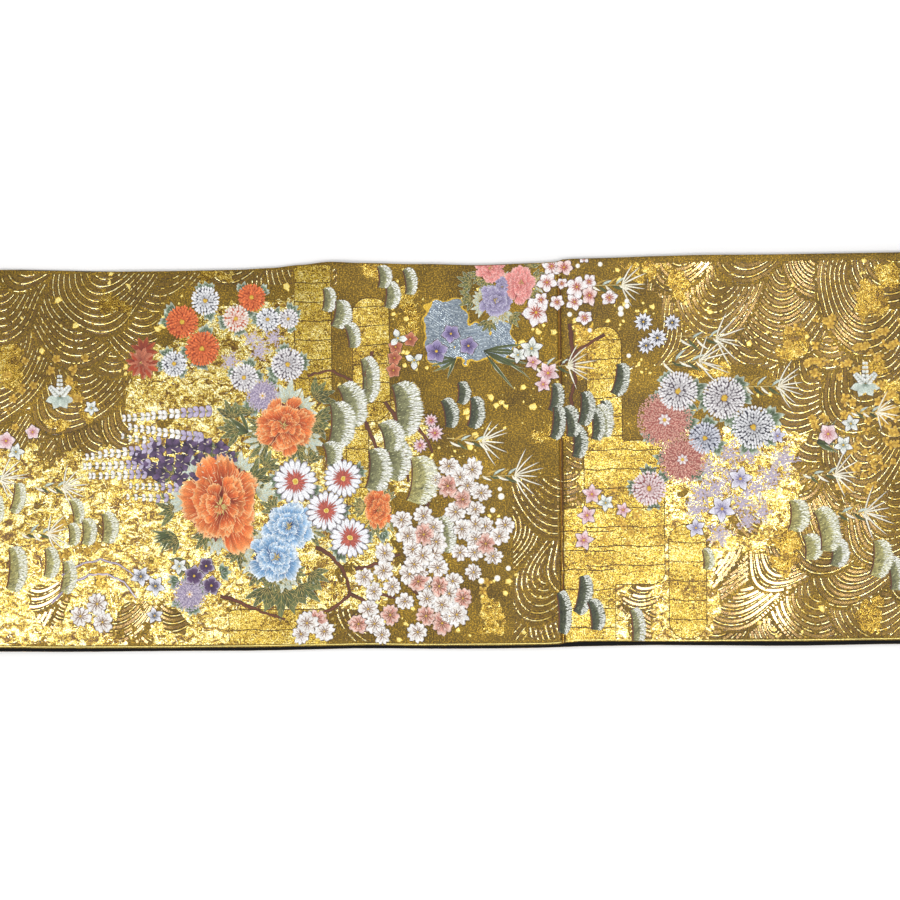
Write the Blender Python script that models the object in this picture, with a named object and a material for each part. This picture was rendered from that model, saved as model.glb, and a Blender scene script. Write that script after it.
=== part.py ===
"""Fukuro obi: a long double-cloth sash, folded in four and laid flat with its last fold opened.

The sash is a brocade face cloth and a plain back cloth, each 4.30 m long, seamed together along
both edges. Folded end to end and then in half again it makes a flat packet of four plies, one
above the other, about 1.08 m long and 10 mm thick. +X runs along the sash, +Y across it and +Z up.
The origin is on the surface that the packet rests on, under the storage crease in its middle.

Ply 1 is the top one, face up. At the left end the cloth turns down around the whole packet, and
at the right end it turns back under itself once, above the sash's two free ends.
"""

import math
from collections import namedtuple

import bpy

MM = 0.001

# The cut of the sash, and how it is folded.
SASH_LENGTH = 4300 * MM
PLIES = 4
PACKET = SASH_LENGTH / PLIES

# One ply, from its face inwards. A seam gap parts all pieces that touch.
FACE_WALL = 1.0 * MM
BACK_WALL = 1.0 * MM
SEAM_GAP = 0.3 * MM
PLY = FACE_WALL + SEAM_GAP + BACK_WALL
PITCH = PLY + SEAM_GAP
TOP = PLIES * PITCH - SEAM_GAP

# The left turn goes round all four plies, and the right turn round the upper two.
LEFT_RADIUS = TOP / 2
RIGHT_RADIUS = (PLY + PITCH) / 2
LEFT_TURN_X = -PACKET / 2 + LEFT_RADIUS
TURN_STEPS = 8

# The two free ends reach a little past the right turn, the lowest one furthest.
THIRD_PLY_END = PACKET / 2 - 4 * MM
FOURTH_PLY_END = PACKET / 2
RIGHT_TURN_X = PACKET / 2 - 8 * MM - RIGHT_RADIUS

# The outline seen from above: the two edges of the top ply, and how far the reverse of the
# second ply shows past each of them. A negative reach is hidden under the top ply.
Outline = namedtuple("Outline", "x upper lower reach_upper reach_lower")
OUTLINES = [
    Outline(-538 * MM, 156.5 * MM, -153.5 * MM, -0.6 * MM, 3.2 * MM),
    Outline(-458 * MM, 156.0 * MM, -153.7 * MM, 0.9 * MM, 3.4 * MM),
    Outline(-408 * MM, 154.4 * MM, -154.4 * MM, 0.9 * MM, 3.2 * MM),
    Outline(-384 * MM, 153.2 * MM, -154.6 * MM, 0.9 * MM, 3.1 * MM),
    Outline(-310 * MM, 152.8 * MM, -154.8 * MM, -0.6 * MM, 2.7 * MM),
    Outline(-260 * MM, 153.0 * MM, -154.6 * MM, -1.2 * MM, 3.1 * MM),
    Outline(-235 * MM, 153.8 * MM, -154.4 * MM, -1.2 * MM, 3.1 * MM),
    Outline(-210 * MM, 155.8 * MM, -154.1 * MM, -1.2 * MM, 3.1 * MM),
    Outline(-186 * MM, 157.8 * MM, -153.9 * MM, -1.2 * MM, 2.7 * MM),
    Outline(-160 * MM, 156.5 * MM, -153.6 * MM, -1.2 * MM, 2.7 * MM),
    Outline(-112 * MM, 154.9 * MM, -154.4 * MM, -1.2 * MM, 2.7 * MM),
    Outline(-64 * MM, 153.3 * MM, -154.4 * MM, -1.2 * MM, 2.9 * MM),
    Outline(-16 * MM, 154.0 * MM, -154.2 * MM, -1.2 * MM, 2.7 * MM),
    Outline(-4 * MM, 154.6 * MM, -153.6 * MM, -0.8 * MM, 2.8 * MM),
    Outline(4 * MM, 156.5 * MM, -152.3 * MM, -0.8 * MM, 3.8 * MM),
    Outline(12 * MM, 156.9 * MM, -151.8 * MM, -1.2 * MM, 4.2 * MM),
    Outline(32 * MM, 157.1 * MM, -151.7 * MM, -1.4 * MM, 4.0 * MM),
    Outline(80 * MM, 157.8 * MM, -152.3 * MM, -1.6 * MM, 3.1 * MM),
    Outline(105 * MM, 158.0 * MM, -152.7 * MM, -1.6 * MM, 3.1 * MM),
    Outline(176 * MM, 157.6 * MM, -152.7 * MM, -1.6 * MM, 3.9 * MM),
    Outline(270 * MM, 157.4 * MM, -152.3 * MM, -1.6 * MM, 3.5 * MM),
    Outline(400 * MM, 156.2 * MM, -153.4 * MM, -1.2 * MM, 3.1 * MM),
    Outline(538 * MM, 157.0 * MM, -152.9 * MM, -1.2 * MM, 3.0 * MM),
]

# Soft swellings of the packet. Each one is highest at (x, y) and fades over its half lengths;
# lean is how far its line moves along x for each metre across.
Ripple = namedtuple("Ripple", "x y rise half_x half_y lean")
RIPPLES = [
    Ripple(-430 * MM, -110 * MM, 2.2 * MM, 46 * MM, 80 * MM, 0.25),
    Ripple(-330 * MM, 90 * MM, 1.2 * MM, 50 * MM, 90 * MM, -0.20),
    Ripple(-187 * MM, 130 * MM, 3.0 * MM, 34 * MM, 150 * MM, 0.10),
    Ripple(-90 * MM, -60 * MM, 1.2 * MM, 42 * MM, 110 * MM, -0.30),
    Ripple(108 * MM, 140 * MM, 2.2 * MM, 40 * MM, 60 * MM, 0.35),
    Ripple(176 * MM, -130 * MM, 2.4 * MM, 44 * MM, 70 * MM, -0.25),
    Ripple(268 * MM, 40 * MM, 1.3 * MM, 48 * MM, 150 * MM, 0.15),
    Ripple(392 * MM, 20 * MM, 2.0 * MM, 52 * MM, 190 * MM, -0.12),
]

# The storage crease across the middle: soft shoulders with a narrow valley between them.
CREASE_RISE = 2.0 * MM
CREASE_HALF = 26 * MM
VALLEY_DEPTH = 1.3 * MM
VALLEY_HALF = 1.8 * MM
CREASE_STATIONS = [-60 * MM, -36 * MM, -20 * MM, -9 * MM, -3.6 * MM, -1.6 * MM]

# Swellings fade out before the turns, and down through the packet to the flat underside.
FADE_LENGTH = 45 * MM
STATION_STEP = 24 * MM
COLUMNS = 9
COLUMN_INSET = 14 * MM

# A wall's rounded edge: how far in from the edge, and how far through the wall.
Edge = namedtuple("Edge", "inset share")
WALL_EDGE = [Edge(0.0, 0.50), Edge(0.35 * MM, 0.14), Edge(1.4 * MM, 0.0)]

# The side of each hidden ply: a rim that bulges out, between grooves.
RIM = 0.6 * MM
GROOVE = 3.2 * MM
ENDED_STEP = 1.0 * MM
POINTS_A_SIDE = 5
HIDDEN_PLIES = (4, 3, 2)
# How far each hidden ply's edges lie in from those of the second ply, in the upper and lower side.
PLY_SETBACK = {2: (0.0, 0.0), 3: (1.3 * MM, 2.2 * MM), 4: (0.4 * MM, 1.2 * MM)}
BACK_SETBACK = 0.5 * MM
# How much of a swelling each hidden ply keeps at its top.
LIFT_SHARE = {2: 0.8, 3: 0.45, 4: 0.15}

# The inner left turn, drawn in at these angles from its outermost point upwards.
HIDDEN_TURN_DEGREES = (78, 56, 34, 14)
# The free ends round off over this length, to this share of their thickness.
END_ROUND = 0.7 * MM
THIRD_END_SHARE = 0.92
FOURTH_END_SHARE = 0.55


GOLD = (0.34, 0.21, 0.045)
BLACK = (0.012, 0.012, 0.013)


def blend(share):
    """0 to 1 with level ends."""
    share = min(max(share, 0.0), 1.0)
    return share * share * (3 - 2 * share)


def outline(x, column):
    """A column of the outline table at x, smooth between its rows."""
    if x <= OUTLINES[0].x:
        return getattr(OUTLINES[0], column)
    for before, after in zip(OUTLINES, OUTLINES[1:]):
        if x <= after.x:
            share = blend((x - before.x) / (after.x - before.x))
            low, high = getattr(before, column), getattr(after, column)
            return low + share * (high - low)
    return getattr(OUTLINES[-1], column)


def crease_height(x):
    """The two shoulders of the crease, less the valley between them."""
    shoulders = CREASE_RISE * math.exp(-abs(x) / CREASE_HALF)
    return shoulders - VALLEY_DEPTH * math.exp(-((x / VALLEY_HALF) ** 2))


def lift(x, y):
    """How far the top surface stands above its level."""
    height = crease_height(x)
    for ripple in RIPPLES:
        along = (x - ripple.x - ripple.lean * (y - ripple.y)) / ripple.half_x
        across = (y - ripple.y) / ripple.half_y
        height += ripple.rise * math.exp(-along * along - across * across)
    to_end = min(x - LEFT_TURN_X, RIGHT_TURN_X - x)
    return height * blend(to_end / FADE_LENGTH)


def top_run_point(x, y, depth):
    """A point of the top ply's level stretch, depth below its face."""
    return (x, y, TOP + lift(x, y) - depth)


def turn_point(centre_x, radius, side, angle, y, depth):
    """A point of a half turn, from its upper end at angle 0 to its lower end at pi."""
    reach = radius - depth
    return (centre_x + side * reach * math.sin(angle), y, TOP - radius + reach * math.cos(angle))


def run_stations(start, end):
    """Places along the packet: even steps, and closer ones at the crease and the outline's rows."""
    count = math.ceil((end - start) / STATION_STEP)
    even = [start + (end - start) * i / count for i in range(count + 1)]
    crease = CREASE_STATIONS + [0.0] + [-x for x in CREASE_STATIONS]
    rows = [row.x for row in OUTLINES if start < row.x < end]
    kept = sorted(crease + rows)
    clear = [x for x in even if min(abs(x - other) for other in kept) > STATION_STEP / 3]
    return sorted(set(kept + clear + [start, end]))


def wall_seats():
    """The path of the top ply: up the left turn, along the level stretch, down the right turn."""
    angles = [math.pi * i / TURN_STEPS for i in range(1, TURN_STEPS + 1)]
    seats = [(LEFT_TURN_X, LEFT_RADIUS, -1, angle) for angle in reversed(angles)]
    seats += [(x, None, 0, 0.0) for x in run_stations(LEFT_TURN_X, RIGHT_TURN_X)]
    return seats + [(RIGHT_TURN_X, RIGHT_RADIUS, 1, angle) for angle in angles]


def column_places(x):
    """Where every piece has its columns across, so that stacked surfaces keep their gap."""
    low, high = outline(x, "lower") + COLUMN_INSET, outline(x, "upper") - COLUMN_INSET
    return [low + (high - low) * i / (COLUMNS - 1) for i in range(COLUMNS)]


def wall_ring(seat, outer, inner, setback):
    """The closed section of a wall across the sash, with rounded edges."""
    x, radius, side, angle = seat

    def point(y, share):
        depth = outer + share * (inner - outer)
        if radius is None:
            return top_run_point(x, y, depth)
        return turn_point(x, radius, side, angle, y, depth)

    low = outline(x, "lower") + setback
    high = outline(x, "upper") - setback
    columns = column_places(x)
    ring = [point(low + edge.inset, edge.share) for edge in WALL_EDGE]
    ring += [point(y, 0.0) for y in columns]
    ring += [point(high - edge.inset, edge.share) for edge in reversed(WALL_EDGE)]
    ring += [point(high - edge.inset, 1 - edge.share) for edge in WALL_EDGE[1:]]
    ring += [point(y, 1.0) for y in reversed(columns)]
    ring += [point(low + edge.inset, 1 - edge.share) for edge in reversed(WALL_EDGE[1:])]
    return ring


def ply_levels(ply, x, y):
    """The underside and the top of a hidden ply where it lies level."""
    top = TOP - (ply - 1) * PITCH
    height = lift(x, y)
    below = height * LIFT_SHARE[ply + 1] if ply + 1 in LIFT_SHARE else 0.0
    return top - PLY + below, top + height * LIFT_SHARE[ply]


def hidden_top(x, y):
    """The top of the hidden plies, a gap below the back cloth."""
    return TOP + lift(x, y) - PITCH


def side_profile(x, sign, plies, squeeze):
    """The layered side of the hidden plies from bottom to top, as (y, z). A ply that has ended
    leaves its points on the flat of its neighbour."""
    edge = outline(x, "upper" if sign > 0 else "lower")
    edge += sign * outline(x, "reach_upper" if sign > 0 else "reach_lower")
    points = []
    for ply in HIDDEN_PLIES:
        nearest = min(max(ply, min(plies)), max(plies))
        setback = PLY_SETBACK[nearest][0 if sign > 0 else 1]
        rim_y = edge - sign * setback
        bottom, top = ply_levels(ply, x, rim_y)
        if ply == HIDDEN_PLIES[-1]:
            top = hidden_top(x, rim_y)
        if ply == HIDDEN_PLIES[0]:
            bottom = 0.0
        if ply in plies:
            middle = (bottom + top) / 2
            rows = [(GROOVE, bottom), (RIM, bottom), (0, middle), (RIM, top), (GROOVE, top)]
            points += [(rim_y - sign * inset, squeeze(z)) for inset, z in rows]
            continue
        ended_above = ply < nearest
        level = ply_levels(nearest, x, rim_y)[1 if ended_above else 0]
        before = POINTS_A_SIDE * (abs(ply - nearest) - 1) + 1
        insets = [GROOVE + ENDED_STEP * (before + i) for i in range(POINTS_A_SIDE)]
        if not ended_above:
            insets.reverse()
        points += [(rim_y - sign * inset, squeeze(level)) for inset in insets]
    return points


def hidden_ring(x, plies=HIDDEN_PLIES, squeeze=lambda z: z):
    """The closed section of the hidden plies at x."""
    lower = side_profile(x, -1, plies, squeeze)
    upper = side_profile(x, 1, plies, squeeze)
    columns = column_places(x)

    def level(y, is_top):
        if is_top and min(plies) == HIDDEN_PLIES[-1]:
            return squeeze(hidden_top(x, y))
        if not is_top and max(plies) == HIDDEN_PLIES[0]:
            return squeeze(0.0)
        ply = min(plies) if is_top else max(plies)
        return squeeze(ply_levels(ply, x, y)[1 if is_top else 0])

    top = [(y, level(y, True)) for y in columns]
    bottom = [(y, level(y, False)) for y in reversed(columns[::2])]
    return [(x, y, z) for y, z in lower + top + upper[::-1] + bottom]


def toward(centre, share):
    """Levels drawn in towards a centre height, for an end that rounds off."""
    return lambda z: centre + (z - centre) * share


def hidden_rings():
    """The hidden plies from the inner left turn to the two free ends."""
    turn_radius = LEFT_RADIUS - PITCH
    centre = TOP / 2
    start = LEFT_TURN_X + SEAM_GAP
    rings = []
    for degrees in HIDDEN_TURN_DEGREES:
        angle = math.radians(degrees)
        x = start - turn_radius * math.sin(angle)
        rings.append(hidden_ring(x, (3, 2), toward(centre, math.cos(angle))))
    rings.append(hidden_ring(start - SEAM_GAP / 2, (3, 2)))
    second_end = RIGHT_TURN_X - SEAM_GAP
    rings += [hidden_ring(x) for x in run_stations(start, second_end)]
    rings.append(hidden_ring(second_end + SEAM_GAP / 2, (4, 3)))
    rings.append(hidden_ring(THIRD_PLY_END - END_ROUND, (4, 3)))
    rings.append(hidden_ring(THIRD_PLY_END, (4, 3), toward(PLY / 2, THIRD_END_SHARE)))
    rings.append(hidden_ring(THIRD_PLY_END + SEAM_GAP / 2, (4,)))
    rings.append(hidden_ring(FOURTH_PLY_END - END_ROUND, (4,)))
    rings.append(hidden_ring(FOURTH_PLY_END, (4,), toward(PLY / 2, FOURTH_END_SHARE)))
    return rings


def cloth_material(name, colour, roughness, metallic):
    """A plain Principled finish for one cloth."""
    material = bpy.data.materials.new(name)
    material.use_nodes = True
    shader = material.node_tree.nodes["Principled BSDF"]
    shader.inputs["Base Color"].default_value = (*colour, 1.0)
    shader.inputs["Roughness"].default_value = roughness
    shader.inputs["Metallic"].default_value = metallic
    return material


def lofted(name, rings, material):
    """One closed object through a row of closed sections. The triangles on both sides of a gap
    are cut the same way, so the gap stays even."""
    count = len(rings[0])
    vertices = [point for ring in rings for point in ring]
    faces = [tuple(range(count)), tuple(reversed(range(len(vertices) - count, len(vertices))))]
    for row in range(len(rings) - 1):
        for i in range(count):
            here, ahead = row * count + i, row * count + (i + 1) % count
            if rings[row][i][1] < rings[row][(i + 1) % count][1]:
                faces.append((here, here + count, ahead + count))
                faces.append((here, ahead + count, ahead))
            else:
                faces.append((here, here + count, ahead))
                faces.append((here + count, ahead + count, ahead))
    mesh = bpy.data.meshes.new(name)
    mesh.from_pydata(vertices, [], faces)
    mesh.materials.append(material)
    mesh.shade_smooth()
    mesh.set_sharp_from_angle(angle=math.radians(40))
    obj = bpy.data.objects.new(name, mesh)
    bpy.context.scene.collection.objects.link(obj)
    return obj


def build():
    for obj in list(bpy.data.objects):
        bpy.data.objects.remove(obj)
    seats = wall_seats()
    face = [wall_ring(seat, 0.0, FACE_WALL, 0.0) for seat in seats]
    lofted("face_cloth", face, cloth_material("face_brocade", GOLD, 0.42, 0.35))
    under = FACE_WALL + SEAM_GAP
    back = [wall_ring(seat, under, under + BACK_WALL, BACK_SETBACK) for seat in seats]
    lofted("back_cloth", back, cloth_material("back_satin", BLACK, 0.7, 0.0))
    lofted("folded_plies", hidden_rings(), cloth_material("folded_back_satin", BLACK, 0.7, 0.0))


build()
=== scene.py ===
import math
from collections import namedtuple

import bmesh
import bpy
import numpy as np
from mathutils import Matrix, Vector


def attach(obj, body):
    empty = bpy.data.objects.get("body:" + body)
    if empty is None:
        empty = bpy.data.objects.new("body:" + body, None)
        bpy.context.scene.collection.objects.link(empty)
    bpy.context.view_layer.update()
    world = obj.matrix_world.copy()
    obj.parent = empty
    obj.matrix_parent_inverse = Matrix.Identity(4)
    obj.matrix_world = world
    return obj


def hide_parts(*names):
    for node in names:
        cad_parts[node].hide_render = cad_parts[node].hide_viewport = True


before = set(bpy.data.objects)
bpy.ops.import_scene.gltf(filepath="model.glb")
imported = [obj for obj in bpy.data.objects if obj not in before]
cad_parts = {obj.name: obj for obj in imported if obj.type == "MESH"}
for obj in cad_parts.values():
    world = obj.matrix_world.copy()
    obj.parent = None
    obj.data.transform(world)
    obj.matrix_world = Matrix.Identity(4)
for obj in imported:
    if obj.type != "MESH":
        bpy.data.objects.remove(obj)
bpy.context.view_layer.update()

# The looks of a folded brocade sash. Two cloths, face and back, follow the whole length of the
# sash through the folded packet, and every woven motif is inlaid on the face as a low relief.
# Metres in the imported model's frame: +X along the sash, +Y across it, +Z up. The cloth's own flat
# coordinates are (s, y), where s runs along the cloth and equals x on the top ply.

MM = 0.001


def table(text, kind=list):
    """Rows from text, parted by commas. Words stay words. Numbers are thousandths: millimetres,
    where they are lengths. A row without words has those of the row before it."""
    rows, words = [], []
    for cells in (row.split() for row in text.split(",")):
        words = [cell for cell in cells if cell[0].isalpha()] or words
        numbers = [float(cell) * MM for cell in cells if not cell[0].isalpha()]
        rows.append(kind(*words, *numbers) if kind is not list else words + numbers)
    return rows


# --- The cut and the fold, as in the solids -------------------------------------------------

SASH_LENGTH = 4300 * MM
PLIES = 4
PACKET = SASH_LENGTH / PLIES
WALL = 1.0 * MM
SEAM_GAP = 0.3 * MM
PLY = 2 * WALL + SEAM_GAP
PITCH = PLY + SEAM_GAP
TOP = PLIES * PITCH - SEAM_GAP
LEFT_RADIUS = TOP / 2
RIGHT_RADIUS = (PLY + PITCH) / 2
INNER_RADIUS = SEAM_GAP / 2
LEFT_X = -PACKET / 2 + LEFT_RADIUS
RIGHT_X = PACKET / 2 - 8 * MM - RIGHT_RADIUS
THIRD_END = PACKET / 2 - 4 * MM
FOURTH_END = PACKET / 2
LIFT_SHARE = {1: 1.0, 2: 1.0, 3: 0.45, 4: 0.15, 5: 0.0}
PLY_SETBACK = {2: (0.0, 0.0), 3: (1.3 * MM, 2.2 * MM), 4: (0.4 * MM, 1.2 * MM)}

# The two edges of the top ply, and how far the second ply's reverse shows past each of them.
Outline = namedtuple("Outline", "x upper lower reach_upper reach_lower")
OUTLINES = table("""
    -538 156.5 -153.5 -0.6 3.2, -458 156 -153.7 0.9 3.4, -408 154.4 -154.4 0.9 3.2,
    -384 153.2 -154.6 0.9 3.1, -310 152.8 -154.8 -0.6 2.7, -260 153 -154.6 -1.2 3.1,
    -235 153.8 -154.4 -1.2 3.1, -210 155.8 -154.1 -1.2 3.1, -186 157.8 -153.9 -1.2 2.7,
    -160 156.5 -153.6 -1.2 2.7, -112 154.9 -154.4 -1.2 2.7, -64 153.3 -154.4 -1.2 2.9,
    -16 154 -154.2 -1.2 2.7, -4 154.6 -153.6 -0.8 2.8, 4 156.5 -152.3 -0.8 3.8,
    12 156.9 -151.8 -1.2 4.2, 32 157.1 -151.7 -1.4 4, 80 157.8 -152.3 -1.6 3.1,
    105 158 -152.7 -1.6 3.1, 176 157.6 -152.7 -1.6 3.9, 270 157.4 -152.3 -1.6 3.5,
    400 156.2 -153.4 -1.2 3.1, 538 157 -152.9 -1.2 3
""", Outline)

# Soft swellings of the packet, each with its lean in thousandths, and the storage crease across
# its middle.
Ripple = namedtuple("Ripple", "x y rise half_x half_y lean")
RIPPLES = table("""
    -430 -110 2.2 46 80 250, -330 90 1.2 50 90 -200, -187 130 3 34 150 100, -90 -60 1.2 42 110 -300,
    108 140 2.2 40 60 350, 176 -130 2.4 44 70 -250, 268 40 1.3 48 150 150, 392 20 2 52 190 -120
""", Ripple)
CREASE_RISE = 2.0 * MM
CREASE_HALF = 26 * MM
VALLEY_DEPTH = 1.3 * MM
VALLEY_HALF = 1.8 * MM
FADE_LENGTH = 45 * MM
CREASE_CUTS = [side * x * MM for x in (0.8, 1.6, 2.4, 3.6, 5.5) for side in (-1, 1)] + [0.0]
CREASE_REACH = 7 * MM
TURN_CUTS = 12

# Faint waves of the weave itself, too small for the solids.
PUCKER = 0.10 * MM
# Every random draw starts from one of these, so that each run is the same.
SEEDS = {"lines": 21, "water": 22, "curls": 23, "whorls": 24, "flowers": 31, "foliage": 41}
FLAKES = 7400


def draws(name):
    return np.random.default_rng(SEEDS[name])


def blend(share):
    """0 to 1 with level ends."""
    share = np.clip(share, 0.0, 1.0)
    return share * share * (3 - 2 * share)


def outline(x, column):
    """A column of the outline table at each x, smooth between its rows."""
    places = np.array([row.x for row in OUTLINES])
    values = np.array([getattr(row, column) for row in OUTLINES])
    x = np.clip(np.asarray(x, float), places[0], places[-1])
    after = np.clip(np.searchsorted(places, x), 1, len(places) - 1)
    share = blend((x - places[after - 1]) / (places[after] - places[after - 1]))
    return values[after - 1] + share * (values[after] - values[after - 1])


def lift(x, y):
    """How far the top surface stands above its level."""
    height = CREASE_RISE * np.exp(-np.abs(x) / CREASE_HALF)
    height = height - VALLEY_DEPTH * np.exp(-((x / VALLEY_HALF) ** 2))
    for ripple in RIPPLES:
        along = (x - ripple.x - ripple.lean * (y - ripple.y)) / ripple.half_x
        across = (y - ripple.y) / ripple.half_y
        height = height + ripple.rise * np.exp(-along * along - across * across)
    waves = np.sin(x / (7.3 * MM) + 2.1 * np.sin(y / (31 * MM)))
    waves = waves + np.sin(x / (12.7 * MM) - y / (17 * MM)) + np.sin(y / (9.1 * MM) + x / (40 * MM))
    height = height + PUCKER * waves * np.clip(np.abs(x) / (8 * MM), 0, 1)
    return height * blend(np.minimum(x - LEFT_X, RIGHT_X - x) / FADE_LENGTH)


# --- The sash's path through the packet -------------------------------------------------------

# Stretches in order along the cloth: kind, where it starts on s, its length, and the ply.
Stretch = namedtuple("Stretch", "kind start length ply")
LEFT_TURN_START = LEFT_X - math.pi * LEFT_RADIUS
RIGHT_TURN_END = RIGHT_X + math.pi * RIGHT_RADIUS
INNER_TURN_START = RIGHT_TURN_END + RIGHT_X - LEFT_X
INNER_TURN_END = INNER_TURN_START + math.pi * (INNER_RADIUS + PLY / 2)
STRETCHES = [
    Stretch("run", LEFT_TURN_START - (FOURTH_END - LEFT_X), FOURTH_END - LEFT_X, 4),
    Stretch("left_turn", LEFT_TURN_START, math.pi * LEFT_RADIUS, 1),
    Stretch("run", LEFT_X, RIGHT_X - LEFT_X, 1),
    Stretch("right_turn", RIGHT_X, math.pi * RIGHT_RADIUS, 1),
    Stretch("run", RIGHT_TURN_END, RIGHT_X - LEFT_X, 2),
    Stretch("inner_turn", INNER_TURN_START, INNER_TURN_END - INNER_TURN_START, 2),
    Stretch("run", INNER_TURN_END, THIRD_END - LEFT_X, 3),
]
# Each turn: the plies that it joins, its centre, which way it bulges along x, whether its start is
# below (-1) or above, its radius at the face, and whether depth adds to that radius or takes from it.
Turn = namedtuple("Turn", "plies x z side way radius inward")
TURNS = {
    "left_turn": Turn((4, 1), LEFT_X, TOP - LEFT_RADIUS, -1, -1, LEFT_RADIUS, -1),
    "right_turn": Turn((1, 2), RIGHT_X, TOP - RIGHT_RADIUS, 1, 1, RIGHT_RADIUS, -1),
    "inner_turn": Turn((2, 3), LEFT_X, TOP / 2, -1, 1, INNER_RADIUS, 1),
}
SASH_START = STRETCHES[0].start
SASH_END = STRETCHES[-1].start + STRETCHES[-1].length


def ply_levels(ply, x, y):
    """The underside and the top of a ply where it lies level."""
    top = TOP - (ply - 1) * PITCH
    height = lift(x, y)
    return top - PLY + height * LIFT_SHARE[ply + 1 if ply > 1 else 1], top + height * LIFT_SHARE[ply]


def ply_edges(ply, x):
    """The lower and upper edge of a ply, seen from above."""
    low, high = outline(x, "lower"), outline(x, "upper")
    if ply > 1:
        low = low - outline(x, "reach_lower") + PLY_SETBACK[ply][1]
        high = high + outline(x, "reach_upper") - PLY_SETBACK[ply][0]
    return low, high


def run_x(stretch, s):
    """x along a level stretch. Even plies run back to the left."""
    along = s - stretch.start
    if stretch.ply == 4:
        return FOURTH_END - along
    if stretch.ply == 2:
        return RIGHT_X - along
    return LEFT_X + along


def stretch_numbers(s):
    """Which stretch each place along the cloth is on."""
    starts = [stretch.start for stretch in STRETCHES]
    return np.clip(np.searchsorted(starts, s, side="right") - 1, 0, len(STRETCHES) - 1)


def place(s, y, depth):
    """Where points of the sash lie: s along the cloth, y across it, depth in from its face."""
    s, y, depth = np.broadcast_arrays(np.asarray(s, float), y, depth)
    points = np.empty(s.shape + (3,))
    points[..., 1] = y
    numbers = stretch_numbers(s)
    for number, stretch in enumerate(STRETCHES):
        inside = numbers == number
        here, across, deep = s[inside], y[inside], depth[inside]
        if stretch.kind == "run":
            x = run_x(stretch, here)
            low, high = ply_levels(stretch.ply, x, across)
            share = deep / PLY
            z = high - share * (high - low) if stretch.ply in (1, 3) else low + share * (high - low)
        else:
            turn = TURNS[stretch.kind]
            turned = math.pi * (here - stretch.start) / stretch.length
            far = turn.radius + turn.inward * deep
            x, z = turn.x + turn.side * far * np.sin(turned), turn.z + turn.way * far * np.cos(turned)
        points[inside, 0], points[inside, 2] = x, z
    return points


def sash_edges(s):
    """The lower and upper edge of the sash at each s, drawn from ply to ply round the turns."""
    s = np.asarray(s, float)
    low, high = np.empty(s.shape), np.empty(s.shape)
    numbers = stretch_numbers(s)
    for number, stretch in enumerate(STRETCHES):
        inside = numbers == number
        if stretch.kind == "run":
            low[inside], high[inside] = ply_edges(stretch.ply, run_x(stretch, s[inside]))
            continue
        turn = TURNS[stretch.kind]
        share = blend((s[inside] - stretch.start) / stretch.length)
        (low_0, high_0), (low_1, high_1) = (ply_edges(ply, turn.x) for ply in turn.plies)
        low[inside] = low_0 + share * (low_1 - low_0)
        high[inside] = high_0 + share * (high_1 - high_0)
    return low, high


def sash_stations(step, hidden_step):
    """Places along the whole sash: close on the top ply and at the crease, wider where hidden."""
    places = []
    for stretch in STRETCHES:
        count = TURN_CUTS
        if stretch.kind == "run":
            count = round(stretch.length / (step if stretch.ply == 1 else hidden_step))
        places += [stretch.start + stretch.length * i / count for i in range(count)]
    places.append(SASH_END)
    crease = [x for x in places if abs(x) < CREASE_REACH]
    return sorted((set(places) - set(crease)) | set(CREASE_CUTS))


# --- Materials --------------------------------------------------------------------------------

CLOTH_MAP, THREAD = "cloth", "thread"
# How much darker the threads are than they look under the bright studio light.
BLEACHING = 0.865


def srgb(red, green, blue):
    """A thread's linear colour, given as it looks in this light on a screen, 0 to 255."""
    shares = np.array([red, green, blue], float) / 255
    return BLEACHING * np.where(shares <= 0.04045, shares / 12.92, ((shares + 0.055) / 1.055) ** 2.4)


def wire(tree, made, inputs):
    """Sets a node's inputs, to values or to other nodes' sockets."""
    for name, value in inputs.items():
        if isinstance(value, bpy.types.NodeSocket):
            tree.links.new(value, made.inputs[name])
        else:
            made.inputs[name].default_value = value


def node(tree, kind, inputs, out=0, **settings):
    """The output of a new shader node."""
    made = tree.nodes.new("ShaderNode" + kind)
    for name, value in settings.items():
        setattr(made, name, value)
    wire(tree, made, inputs)
    return made.outputs[out]


def new_material(name):
    """An empty node material: its tree and its Principled shader."""
    material = bpy.data.materials.new(name)
    material.use_nodes = True
    return material, material.node_tree, material.node_tree.nodes["Principled BSDF"]


def cloth_places(tree, pitch_s, pitch_y):
    """The cloth's flat coordinates, counted in threads of that pitch in millimetres."""
    flat = node(tree, "UVMap", {}, uv_map=CLOTH_MAP)
    return node(tree, "Mapping", {"Vector": flat, "Scale": (1 / (pitch_s * MM), 1 / (pitch_y * MM), 1)})


def noise(tree, pitch_s, pitch_y, detail=2.0, roughness=0.5, distortion=0.0):
    """Noise on the cloth with features of that pitch."""
    inputs = {"Vector": cloth_places(tree, pitch_s, pitch_y), "Scale": 1.0, "Detail": detail,
              "Roughness": roughness, "Distortion": distortion}
    return node(tree, "TexNoise", inputs, noise_dimensions="2D")


def ramp(tree, factor, stops):
    """A colour ramp from (place, colour) stops."""
    made = node(tree, "ValToRGB", {"Fac": factor})
    elements = made.node.color_ramp.elements
    while len(elements) < len(stops):
        elements.new(0.5)
    for element, (place_on, colour) in zip(elements, stops):
        element.position = place_on
        element.color = (*colour, 1)
    return made


def times(tree, colour, factor):
    """A colour multiplied by another colour."""
    inputs = {"Factor": 1.0, 6: colour, 7: factor}
    return node(tree, "Mix", inputs, 2, data_type="RGBA", blend_type="MULTIPLY")


def plus(tree, first, second):
    return node(tree, "Math", {0: first, 1: second}, operation="ADD")


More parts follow.
